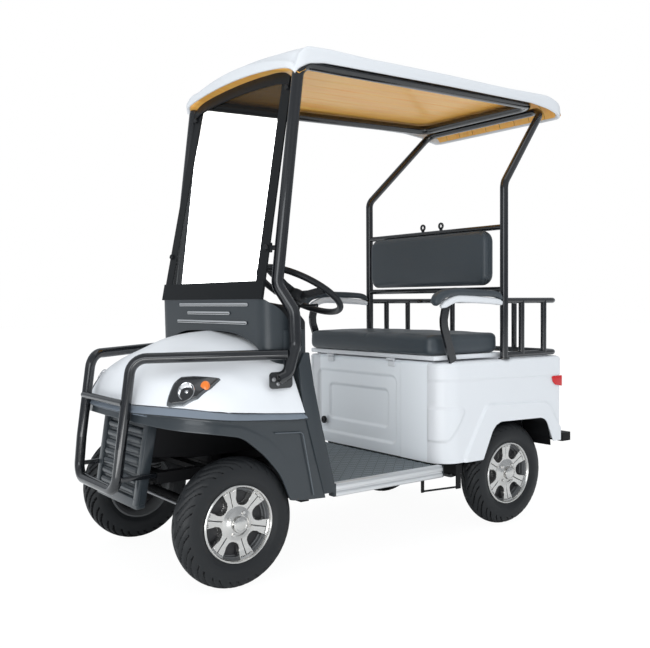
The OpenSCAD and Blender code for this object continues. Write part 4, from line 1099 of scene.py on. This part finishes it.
tubFront, tubBack, tubX = bodyBack - .339, bodyBack - .006, bodyX - .024
deck = [deckPlate("deck front", -bodyX + .009, bodyFront + .06, bodyX - .009, tubFront, bodyTop - .008,
    bodyTop - .0005), deckPlate("deck nose", -bodyX + .075, bodyFront + .009, bodyX - .075,
    bodyFront + .064, bodyTop - .008, bodyTop - .0005),
    deckPlate("rim left", tubX - .002, tubFront - .01, bodyX - .009, bodyBack - .03, bodyTop - .008,
    bodyTop - .0005), deckPlate("rim right", -bodyX + .009, tubFront - .01, -tubX + .002, bodyBack - .03,
    bodyTop - .008, bodyTop - .0005), deckPlate("rim back", -bodyX + .03, bodyBack - .016, bodyX - .03,
    bodyBack - .0065, bodyTop - .008, bodyTop - .0005),
    deckPlate("tub floor", -tubX, tubFront, tubX, tubBack, bodyLook["tubFloor"] - .006,
    bodyLook["tubFloor"]), deckPlate("tub front", -tubX, tubFront - .004, tubX, tubFront,
    bodyLook["tubFloor"], bodyTop - .001), deckPlate("tub back", -tubX, tubBack - .002, tubX,
    tubBack + .002, bodyLook["tubFloor"], bodyTop - .001),
    deckPlate("tub left", tubX - .001, tubFront, tubX + .003, tubBack, bodyLook["tubFloor"],
    bodyTop - .001), deckPlate("tub right", -tubX - .003, tubFront, -tubX + .001, tubBack,
    bodyLook["tubFloor"], bodyTop - .001)]
for sign in (1, -1):
    x, y = sign * (bodyX - .06), bodyFront + .035
    deck.append(deckPlate("corner deck", x - .03, y, x + .03, y + .05, bodyTop - .008, bodyTop - .0006))
rearBody = joined("rear body", [bodySkin] + deck)
place(rearBody, "whitePaint", "cart", ["rear_body"])
# the step panel under the seat is a brighter white than the rest: painted light that lifts the shade
# falling on this forward-facing panel
rearBody.data.materials.append(look["panelPaintedLight"])
for polygon in rearBody.data.polygons:
    ahead = polygon.normal.y < -0.3 and polygon.center.y < bodyFront + 0.03
    polygon.material_index = int(ahead and abs(polygon.center.x) < bodyX - 0.098)

wellParts = []
wellLine = [(-.244, .30), (-.244, .34), (-.185, .44), (-.110, .482), (.180, .482), (.236, .445),
    (.258, .37), (.262, .33)]
for sign in (1, -1):
    smoothWell = rounded([(0, s, z) for s, z in wellLine], 0.05)
    verts = [(sign * x, rearY + p.y, p.z) for p in smoothWell for x in (.317, .472)]
    faces = [(2 * i, 2 * i + 1, 2 * i + 3, 2 * i + 2) for i in range(len(smoothWell) - 1)]
    wellParts.append(solid("well", verts, faces, 40))
    wellParts.append(plate("well side", [(sign * .316, rearY + p.y, p.z) for p in smoothWell],
        (-sign * .003, 0, 0)))
wells = joined("wheel wells", wellParts)
place(wells, "blackSteel", "cart")

archLiners = []
for sign in (1, -1):
    rows = []
    for x in np.linspace(.19, .470, 12):
        start = np.interp(x, [.19, .25, .338, .41, .46, .47], [-.262, -.245, -.205, -.150, -.08, -.05])
        roofLine = through([(start, .588), (start + .03, .593), (.02, .594), (.10, .590), (.165, .572),
            (.215, .53), (.245, .45), (.262, .35), (.268, .30)], 4)
        rows.append([tuple(at(sign * x, s, z)) for s, z in roofLine])
    archLiners.append(gridObject("arch liner", np.array(rows), 0.003, 50))
    archLiners.append(plate("arch cheek", [at(sign * .188, s, z) for s,
        z in ((-.20, .58), (-.20, .45), (.0, .43), (.24, .43), (.262, .56), (.1, .60), (-.1, .60))],
        (sign * .003, 0, 0)))
archLiner = joined("front arch liners", archLiners)
place(archLiner, "blackSteel", "cart")

detail = []
hingeSpots = (-.284, .156)
for x in hingeSpots:
    detail.append(block("hinge leaf", (x - .021, bodyFront - .0045, bodyTop - .030),
        (x + .021, bodyFront + .002, bodyTop - .006), 0.002))
hinges = joined("hinge leaves", detail)
place(hinges, "whitePaint", "cart")
barrels = []
for x in hingeSpots:
    barrels.append(tube("barrel", [Vector((x - .022, bodyFront - .007, bodyTop + .001)),
        Vector((x + .022, bodyFront - .007, bodyTop + .001))], 0.0058))
barrelSet = joined("hinge barrels", barrels)
place(barrelSet, "whitePaint", "seat")
lock = turned("panel lock", [(0.0001, 0.0045), (0.006, 0.0048), (0.007, 0.008), (0.013, 0.0085),
    (0.0175, 0.0055), (0.018, 0.001), (0.018, -0.003)], 32)
lock.data.transform(Matrix.Translation((-.340, bodyFront - .0035, .424)) @ Matrix.Rotation(math.radians(90),
    4, "X"))
place(lock, "softBlack", "cart")
lampPoints = [(.259, .647), (.266, .652), (.332, .653), (.332, .603), (.285, .611), (.268, .625)]
for sign, side in ((1, "left"), (-1, "right")):
    outline = [(sign * (bodyX - .001), rearY + s, z) for s, z in lampPoints]
    wrap = plate(side + " tail lamp", outline, (sign * .006, 0, 0), 0.003, 3)
    place(wrap, "redLens", "cart", ["tail_lamps"])
print("rear body ready")

# seat, backrest and armrests

seatLook = {"fill": 0.85, "swell": 0.008, "backSwell": 0.007}


def cushion(name, low, high, corner, edge, body, stands, upright=False):
    # rounded upholstered block, swollen in the middle, with a welt round its edges
    low, high = Vector(low), Vector(high)
    if upright:
        outline = [Vector((u, low.y, v)) for u, v in roundedOutline(low.x, low.z, high.x, high.z, corner)]
        obj = plate(name, outline, (0, high.y - low.y, 0), edge, 5)
    else:
        outline = [Vector((u, v, low.z)) for u, v in roundedOutline(low.x, low.y, high.x, high.y, corner)]
        obj = plate(name, outline, (0, 0, high.z - low.z), edge, 5)
    applied(obj, "REMESH", mode="VOXEL", voxel_size=0.006)
    centre, half = (low + high) / 2, (high - low) / 2
    count = len(obj.data.vertices)
    co = np.zeros(count * 3)
    obj.data.vertices.foreach_get("co", co)
    co = co.reshape(-1, 3)
    rel = (co - np.array(centre)) / np.array(half)
    if upright:
        bulge = (1 - np.clip(np.abs(rel[:, 0]), 0, 1) ** 4) * (1 - np.clip(np.abs(rel[:, 2]), 0, 1) ** 3)
        co[:, 1] -= np.where(rel[:, 1] < 0, seatLook["backSwell"] * bulge, 0)
        groove = np.exp(-((rel[:, 1] - 0.05) / 0.09) ** 2)
        pinch = 0.0022 * groove
        co[:, 0] -= np.sign(rel[:, 0]) * pinch * (np.abs(rel[:, 0]) > 0.93)
        co[:, 2] -= np.sign(rel[:, 2]) * pinch * (np.abs(rel[:, 2]) > 0.85)
    else:
        bulge = (1 - np.clip(np.abs(rel[:, 0]), 0, 1) ** 6) * (1 - np.clip(np.abs(rel[:, 1]), 0, 1) ** 4)
        wave = 0.0012 * np.sin(co[:, 0] * 31 + 3 * np.sin(co[:, 1] * 9)) * np.sin(co[:, 1] * 17 + 1)
        co[:, 2] += np.where(rel[:, 2] > 0, seatLook["swell"] * bulge + wave, 0)
        seam = 0.0035 * np.exp(-((rel[:, 0] - 0.02) / 0.010) ** 2)
        co[:, 2] -= np.where(rel[:, 2] > 0, seam, 0)
        fold = 0.002 * np.exp(-((rel[:, 2] - 0.28) / 0.07) ** 2)
        co[:, 0] -= np.sign(rel[:, 0]) * fold * (np.abs(rel[:, 0]) > 0.95)
        co[:, 1] -= np.sign(rel[:, 1]) * fold * (np.abs(rel[:, 1]) > 0.93)
    obj.data.vertices.foreach_set("co", co.ravel())
    applied(obj, "SMOOTH", factor=0.5, iterations=3)
    obj.data.shade_smooth()
    place(obj, "leather", body, stands)
    return obj


low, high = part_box("seat_cushion")
cushion("seat cushion", low + Vector((0, 0, .001)), high - Vector((0, 0, .002)), 0.04, 0.024, "seat",
    ["seat_cushion"])
lidBoard = block("lid board", (low.x - .002, bodyFront - .012, bodyTop + .008),
    (high.x + .002, bodyFront + .400, bodyTop + .0275), 0.003)
place(lidBoard, "whitePaint", "seat", ["seat_lid"])

low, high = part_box("backrest")
cushion("backrest", low + Vector((.018, .001, -.006)), high + Vector((.018, .006, .012)), 0.048, 0.020,
    "cart", ["backrest"], True)
for y in (low.y + .016, low.y + .040):
    outline = roundedOutline(low.x + .0195, low.z - .0045, high.x + .0165, high.z + .0105, .047)
    path = [(x, y, z) for x, z in outline] + [(high.x + .0165, y, high.z + .0105 - .047)]
    welt = swept("backrest welt", path, circle(.0022, 8))
    place(welt, "leather", "cart")


def armrest(sign, side):
    x = sign * .4625
    top = through([(.934, .984), (.944, 1.012), (.980, 1.031), (1.05, 1.041), (1.13, 1.038), (1.22, 1.036),
        (1.30, 1.030), (1.337, 1.012)], 6)
    line = [at(x, s, z) for s, z in top]
    sizes = np.interp(np.linspace(0, 1, len(line)), [0, .05, .15, .5, .9, 1],
        [.45, 1.1, 1.35, 1.05, .9, .5])
    section = [(math.copysign(abs(u) ** 0.8, u) * .021, math.copysign(abs(v) ** 0.8, v) * .0155) for u,
        v in circle(1, 20)]
    padTop = swept(side + " arm pad", line, section, scales=[(min(w, 1.06), w) for w in sizes])
    under = through([(.966, .978), (1.0, .994), (1.05, 1.010), (1.13, 1.010), (1.22, 1.005), (1.30, .999),
        (1.335, 0.992)], 6)
    sizes = np.interp(np.linspace(0, 1, len(under)), [0, .1, .5, .9, 1], [.4, .9, 1.0, .8, .6])
    section = [(math.copysign(abs(u) ** 0.6, u) * .0165, math.copysign(abs(v) ** 0.6, v) * .0165) for u,
        v in circle(1, 20)]
    padUnder = swept(side + " arm shell", [at(x, s, z) for s, z in under], section,
        scales=[(w, w) for w in sizes])
    stay = rounded([at(x, 1.036, .747), at(x, .984, .895), at(x, .982, .925), at(x, .998, .992)], .05)
    section = [(-.006, -.019), (.006, -.019), (.006, .019), (-.006, .019)]
    strut = swept(side + " arm stay", stay, section, smooth=30)
    pin = tube(side + " arm pin", [at(x, 1.325, 1.000), at(x, 1.352, .998)], .009)
    place(padTop, "leather", "cart", [side + "_armrest"])
    place(padUnder, "whitePaint", "cart")
    place(joined(side + " arm frame", [strut, pin]), "blackTube", "cart")


armrest(1, "left")
armrest(-1, "right")
print("seat ready")

# cabin

cowlLook = {"slots": [(.993, -.236, .307), (.960, -.165, .176), (.925, -.256, .299)]}


def cowlGrid():
    plan = [(0, .130), (.2, .130), (.33, .130), (.372, .131), (.398, .138), (.414, .155), (.422, .180),
        (.425, .205), (.425, .235)]
    topZ = [1.015, 1.015, 1.015, 1.015, 1.012, 1.000, .985, .965, .93]
    lowZ = [.890, .884, .850, .826, .806, .790, .780, .776, .776]
    rows = []
    for share in np.linspace(0, 1, 8):
        rows.append([(x, s + 0.004 * (1 - share), l + (t - l) * share) for (x, s), t,
            l in zip(plan, topZ, lowZ)])
    return smoothed(wholeRows(rows), 6, 2)


cowl = gridObject("cowl panel", cowlGrid(), 0.004, 50)
place(cowl, "trimGrey", "cart", ["cowl_panel"])
louvres = []
for z, x0, x1 in cowlLook["slots"]:
    frameLine = roundedOutline(x0, z - .006, x1, z + .006, .0058)
    louvres.append(plate("louvre", [at(x, .129, v) for x, v in frameLine], (0, -.0025, 0), 0.001))
louvreSet = joined("louvres", louvres)
place(louvreSet, "sillMetal", "cart")
gaps = []
for z, x0, x1 in cowlLook["slots"]:
    gaps.append(plate("slot", [at(x, .1264, v) for x,
        v in roundedOutline(x0 + .003, z - .0035, x1 - .003, z - .0005, .0014)], (0, -.0006, 0)))
gapSet = joined("louvre gaps", gaps)
place(gapSet, "softBlack", "cart")

dashOutline = [(.146, .900), (.142, 1.006), (.240, .990), (.300, .962), (.330, .930), (.332, .720),
    (.238, .668), (.238, .900)]
dash = plate("dash", [at(-.396, s, z) for s, z in dashOutline], (.792, 0, 0), 0.012, 4)
place(dash, "softBlack", "cart", ["dashboard"])
# the tray mouths are near-black plates, painted shade inside the trays
trays = []
for x0 in (-.340, -.160):
    trays.append(plate("tray mouth", [at(x0 + u, .3305, v) for u,
        v in roundedOutline(0, .770, .150, .880, .02)], (0, .0035, 0), 0.001))
tray = joined("dash trays", trays)
place(tray, "pocketShade", "cart")
gauge = turned("gauge", [(0.0001, 0.004), (0.026, 0.004), (0.029, 0.006), (0.033, 0.004), (0.034, 0)], 48)
gauge.data.transform(Matrix.Translation(at(0.02, .285, .970)) @ Matrix.Rotation(math.radians(-35), 4, "X"))
place(gauge, "lampRim", "cart")

wheelJoint = [j for j in frame["joints"] if j["name"] == "hand_wheel_turn"][0]
wheelSpot = Vector(wheelJoint["pos_m"])
tilt = Matrix.Translation(wheelSpot) @ Matrix.Rotation(math.radians(-30), 4, "X")
ringLook = {"radius": 0.178, "grip": 0.013}
ringTurns = [math.radians(4 * k) for k in range(91)]
ringLine = [(ringLook["radius"] * math.cos(a), ringLook["radius"] * math.sin(a), 0) for a in ringTurns]
ring = swept("wheel ring", ringLine, circle(ringLook["grip"], 16), ends=False)
applied(ring, "WELD", merge_threshold=0.0008)
spokes = [ring]
for turn in (0, 180, 270):
    way = Vector((math.cos(math.radians(turn)), math.sin(math.radians(turn)), 0))
    line = [way * 0.02 + Vector((0, 0, -.022)), way * 0.07 + Vector((0, 0, -.020)),
        way * 0.13 + Vector((0, 0, -.008)), way * 0.172]
    u, v = (.005, .016) if abs(way.x) < .5 else (.016, .005)
    spokes.append(swept("spoke", rounded(line, 0.05), [(-u, -v), (u, -v), (u, v), (-u, v)], smooth=30))
hubCap = turned("wheel hub", [(0.0001, -0.004), (0.030, -0.006), (0.038, -0.012), (0.040, -0.030),
    (0.030, -0.050), (0.0001, -0.052)], 48)
spokes.append(hubCap)
handWheel = joined("steering wheel", spokes)
handWheel.data.transform(tilt)
place(handWheel, "softBlack", "hand_wheel", ["steering_wheel"])
columnParts = [tube("column", [tilt @ Vector((0, 0, -.330)), tilt @ Vector((0, 0, -.150))], .024),
    tube("column shroud", [tilt @ Vector((0, 0, -.200)), tilt @ Vector((0, 0, -.060))], .033)]
for side in (1, -1):
    columnParts.append(tube("stalk", [tilt @ Vector((.03 * side, 0, -.075)),
        tilt @ Vector((.150 * side, .01, -.062))], .005, sides=12))
column = joined("steering column", columnParts)
place(column, "softBlack", "cart", ["steering_column"])

matLow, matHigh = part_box("floor_mat")
matLook = {"mesh": 0.0055, "pitch": 0.055, "rib": 0.0022}
xs = np.arange(matLow.x + .002, matHigh.x - .002, matLook["mesh"])
ys = np.arange(matLow.y + .002, matHigh.y - .002, matLook["mesh"])
gx, gy = np.meshgrid(xs, ys)


def fromRib(x, y):
    # share of a pitch to the nearest of the two crossing sets of ribs
    pitch = matLook["pitch"]
    return np.minimum(np.abs(((x + y) / pitch) % 1 - 0.5), np.abs(((x - y) / pitch) % 1 - 0.5))


bump = matLook["rib"] * (1 - ramp(fromRib(gx, gy) - 0.05, 0.06))
mat = gridObject("floor mat", np.stack([gx, gy, matHigh.z - 0.0025 + bump], -1), 0.004, 60)
place(mat, "matGrey", "cart", ["floor_mat"])
mat.data.materials.append(look["matRib"])
for polygon in mat.data.polygons:
    spot = polygon.center
    polygon.material_index = int(fromRib(spot.x, spot.y) < 0.055 and spot.z > matHigh.z - 0.003)

sillLow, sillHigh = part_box("side_sills")
sillParts, capParts = [], []
for sign in (1, -1):
    x0 = sign * (sillHigh.x - .011)
    section = [(0, -.046), (.008, -.046), (.0105, -.043), (.0105, -.030), (.007, -.027), (.007, -.022),
        (.0105, -.019), (.0105, -.006), (.008, -.003), (.0065, -.002), (.0065, .001), (.0035, .003),
        (-.020, .003), (-.020, .000), (0, .000)]
    outline = [Vector((x0 + sign * u, sillLow.y, sillHigh.z - .003 + v)) for u, v in section]
    sillParts.append(plate("sill", outline, (0, sillHigh.y - sillLow.y, 0), 0.0006, 1))
    inner, outer = sorted((x0 - sign * .02, x0 + sign * .0112))
    capParts.append(block("sill end", (inner, sillLow.y - .012, sillHigh.z - .048),
        (outer, sillLow.y + .001, sillHigh.z + .001), .002))
    inner, outer = sorted((x0 - sign * .02, x0 + sign * .0108))
    capParts.append(block("sill end back", (inner, sillHigh.y - .001, sillHigh.z - .048),
        (outer, sillHigh.y + .004, sillHigh.z - .002), .001))
sills = joined("sills", sillParts)
place(sills, "sillMetal", "cart", ["side_sills"])
place(joined("sill ends", capParts), "trimGrey", "cart")

trimParts = []
for sign in (1, -1):
    outline = [(.262, .818), (.238, .770), (.250, .700), (.264, .600), (.350, .290), (.404, .290),
        (.400, .320), (.336, .568), (.306, .700), (.286, .818)]
    trimParts.append(plate("scuttle trim", [at(sign * .4600, s, z) for s, z in outline],
        (sign * .0165, 0, 0), 0.003))
    trimParts.append(plate("scuttle cheek", [at(sign * .418, s, z) for s,
        z in ((.205, .90), (.205, .76), (.262, .60), (.300, .60), (.300, .90))], (sign * .012, 0, 0),
        0.003))
trims = joined("scuttle trims", trimParts)
place(trims, "trimGrey", "cart", ["scuttle_trims"])

for node, material in (("main_frame", "blackSteel"), ("floor_pan", "blackSteel"),
        ("front_axle", "blackSteel"), ("rear_axle", "blackSteel"), ("rear_springs", "blackSteel"),
        ("front_springs", "blackSteel"), ("left_knuckle", "steel"), ("right_knuckle", "steel"),
        ("tie_rod", "steel"), ("drive_motor", "castMetal"), ("battery_pack", "battery"),
        ("pedals", "softBlack"), ("rear_bumper", "blackSteel")):
    node = frame["nodes"][node]
    node.data.materials.clear()
    node.data.materials.append(look[material])

coils = []
for sign in (1, -1):
    x = sign * .242
    turns = [Vector((x + .031 * math.cos(k * 0.35), frontY + .031 * math.sin(k * 0.35),
        .292 + .078 * k / 110)) for k in range(111)]
    coils.append(swept("coil", turns, circle(.005, 8)))
coilSet = joined("front coils", coils)
place(coilSet, "castMetal", "cart")
print("cabin ready")

# camera, light and floor

cameraLook = {"spot": (2.9386, -1.489, 1.0011), "azimuth": 0.9275, "pitch": -0.0264, "roll": -0.0055,
    "lens": 46.27}


def addCamera():
    data = bpy.data.cameras.new("camera")
    data.lens = cameraLook["lens"]
    data.sensor_width = 36
    data.clip_end = 60
    camera = bpy.data.objects.new("camera", data)
    scene.collection.objects.link(camera)
    a, p, r = (cameraLook[k] for k in ("azimuth", "pitch", "roll"))
    ahead, right, up = Vector((-math.sin(a), math.cos(a), 0)), Vector((math.cos(a), math.sin(a),
        0)), Vector((0, 0, 1))
    ahead, up = ahead * math.cos(p) + up * math.sin(p), up * math.cos(p) - ahead * math.sin(p)
    right, up = right * math.cos(r) + up * math.sin(r), up * math.cos(r) - right * math.sin(r)
    x, s, z = cameraLook["spot"]
    camera.matrix_world = Matrix.Translation(at(x, s, z)) @ Matrix((right, up,
        -ahead)).transposed().to_4x4()
    scene.camera = camera


addCamera()


def lamp(name, spot, target, size, power, colour=(1, 1, 1)):
    data = bpy.data.lights.new(name, "AREA")
    data.shape = "RECTANGLE"
    data.size, data.size_y = size
    data.energy = power
    data.color = colour
    obj = bpy.data.objects.new(name, data)
    scene.collection.objects.link(obj)
    obj.location = spot
    obj.rotation_mode = "QUATERNION"
    obj.rotation_quaternion = (Vector(target) - Vector(spot)).to_track_quat("-Z", "Y")
    return obj


lightLook = {"side": 2, "front": 4, "door": 18, "over": 14, "low": 20, "sky": 1.12, "room": 0.66}
lamp("side light", (4.2, -0.6, 2.6), (0, 0, 0.9), (3.0, 2.2), lightLook["side"])
lamp("front light", (0.8, -4.6, 2.6), (0, -0.3, 0.8), (2.6, 2.0), lightLook["front"])
lamp("door light", (2.5, -3.0, 1.7), (0, 0.15, 0.6), (1.8, 1.4), lightLook["door"], (0.93, 0.97, 1.0))
lamp("low light", (1.9, -2.4, 0.25), (0, 0, 1.7), (2.4, 0.6), lightLook["low"])
lamp("over light", (0.3, 0.2, 4.6), (0, 0, 0.6), (2.6, 3.2), lightLook["over"])

world = bpy.data.worlds.new("studio")
scene.world = world
world.use_nodes = True
nodes, links = world.node_tree.nodes, world.node_tree.links
nodes.clear()
outlet = nodes.new("ShaderNodeOutputWorld")
seen, glow = nodes.new("ShaderNodeBackground"), nodes.new("ShaderNodeBackground")
mix = nodes.new("ShaderNodeMixShader")
seen.inputs["Color"].default_value = (1, 1, 1, 1)
behindGlass = nodes.new("ShaderNodeMath")
behindGlass.operation = "MULTIPLY_ADD"
behindGlass.inputs[1].default_value = 6
behindGlass.inputs[2].default_value = 1
glow.inputs["Strength"].default_value = lightLook["sky"]
coords, split = nodes.new("ShaderNodeTexCoord"), nodes.new("ShaderNodeSeparateXYZ")
shade = nodes.new("ShaderNodeValToRGB")
shade.color_ramp.elements[0].position = 0.42
shade.color_ramp.elements[0].color = (0.34, 0.37, 0.41, 1)
shade.color_ramp.elements[1].position = 0.62
shade.color_ramp.elements[1].color = (0.93, 0.97, 1, 1)
rise = nodes.new("ShaderNodeMapRange")
rise.inputs["From Min"].default_value = -1
path = nodes.new("ShaderNodeLightPath")
links.new(coords.outputs["Generated"], split.inputs[0])
links.new(split.outputs["Z"], rise.inputs["Value"])
links.new(rise.outputs["Result"], shade.inputs["Fac"])
links.new(shade.outputs["Color"], glow.inputs["Color"])
links.new(path.outputs["Transparent Depth"], behindGlass.inputs[0])
links.new(behindGlass.outputs[0], seen.inputs["Strength"])
dim, room = nodes.new("ShaderNodeBackground"), nodes.new("ShaderNodeMixShader")
isGlossy = nodes.new("ShaderNodeMath")
isGlossy.operation = "MULTIPLY"
isGlossy.inputs[1].default_value = lightLook["room"]
dim.inputs["Color"].default_value = (0.09, 0.10, 0.12, 1)
links.new(path.outputs["Is Glossy Ray"], isGlossy.inputs[0])
links.new(isGlossy.outputs[0], room.inputs[0])
links.new(glow.outputs[0], room.inputs[1])
links.new(dim.outputs[0], room.inputs[2])
links.new(path.outputs["Is Camera Ray"], mix.inputs[0])
links.new(room.outputs[0], mix.inputs[1])
links.new(seen.outputs[0], mix.inputs[2])
links.new(mix.outputs[0], outlet.inputs[0])

floorMesh = solid("floor", [(-30, -30, 0), (30, -30, 0), (30, 30, 0), (-30, 30, 0)], [(0, 1, 2, 3)], 0)
floorMaterial = bpy.data.materials.new("floor")
floorMaterial.use_nodes = True
nodes, links = floorMaterial.node_tree.nodes, floorMaterial.node_tree.links
base = nodes["Principled BSDF"]
base.inputs["Base Color"].default_value = (0.8, 0.8, 0.8, 1)
base.inputs["Roughness"].default_value = 0.9
bright, mix = nodes.new("ShaderNodeEmission"), nodes.new("ShaderNodeMixShader")
path = nodes.new("ShaderNodeLightPath")
lit = nodes.new("ShaderNodeMath")
lit.operation = "MULTIPLY"
lit.inputs[1].default_value = 0.9
bright.inputs["Strength"].default_value = 1.06
links.new(path.outputs["Is Camera Ray"], lit.inputs[0])
links.new(lit.outputs[0], mix.inputs[0])
links.new(base.outputs[0], mix.inputs[1])
links.new(bright.outputs[0], mix.inputs[2])
links.new(mix.outputs[0], nodes["Material Output"].inputs[0])
floorMesh.data.materials.append(floorMaterial)

scene.view_settings.view_transform = "Standard"
scene.render.engine = "CYCLES"
print("stage ready")
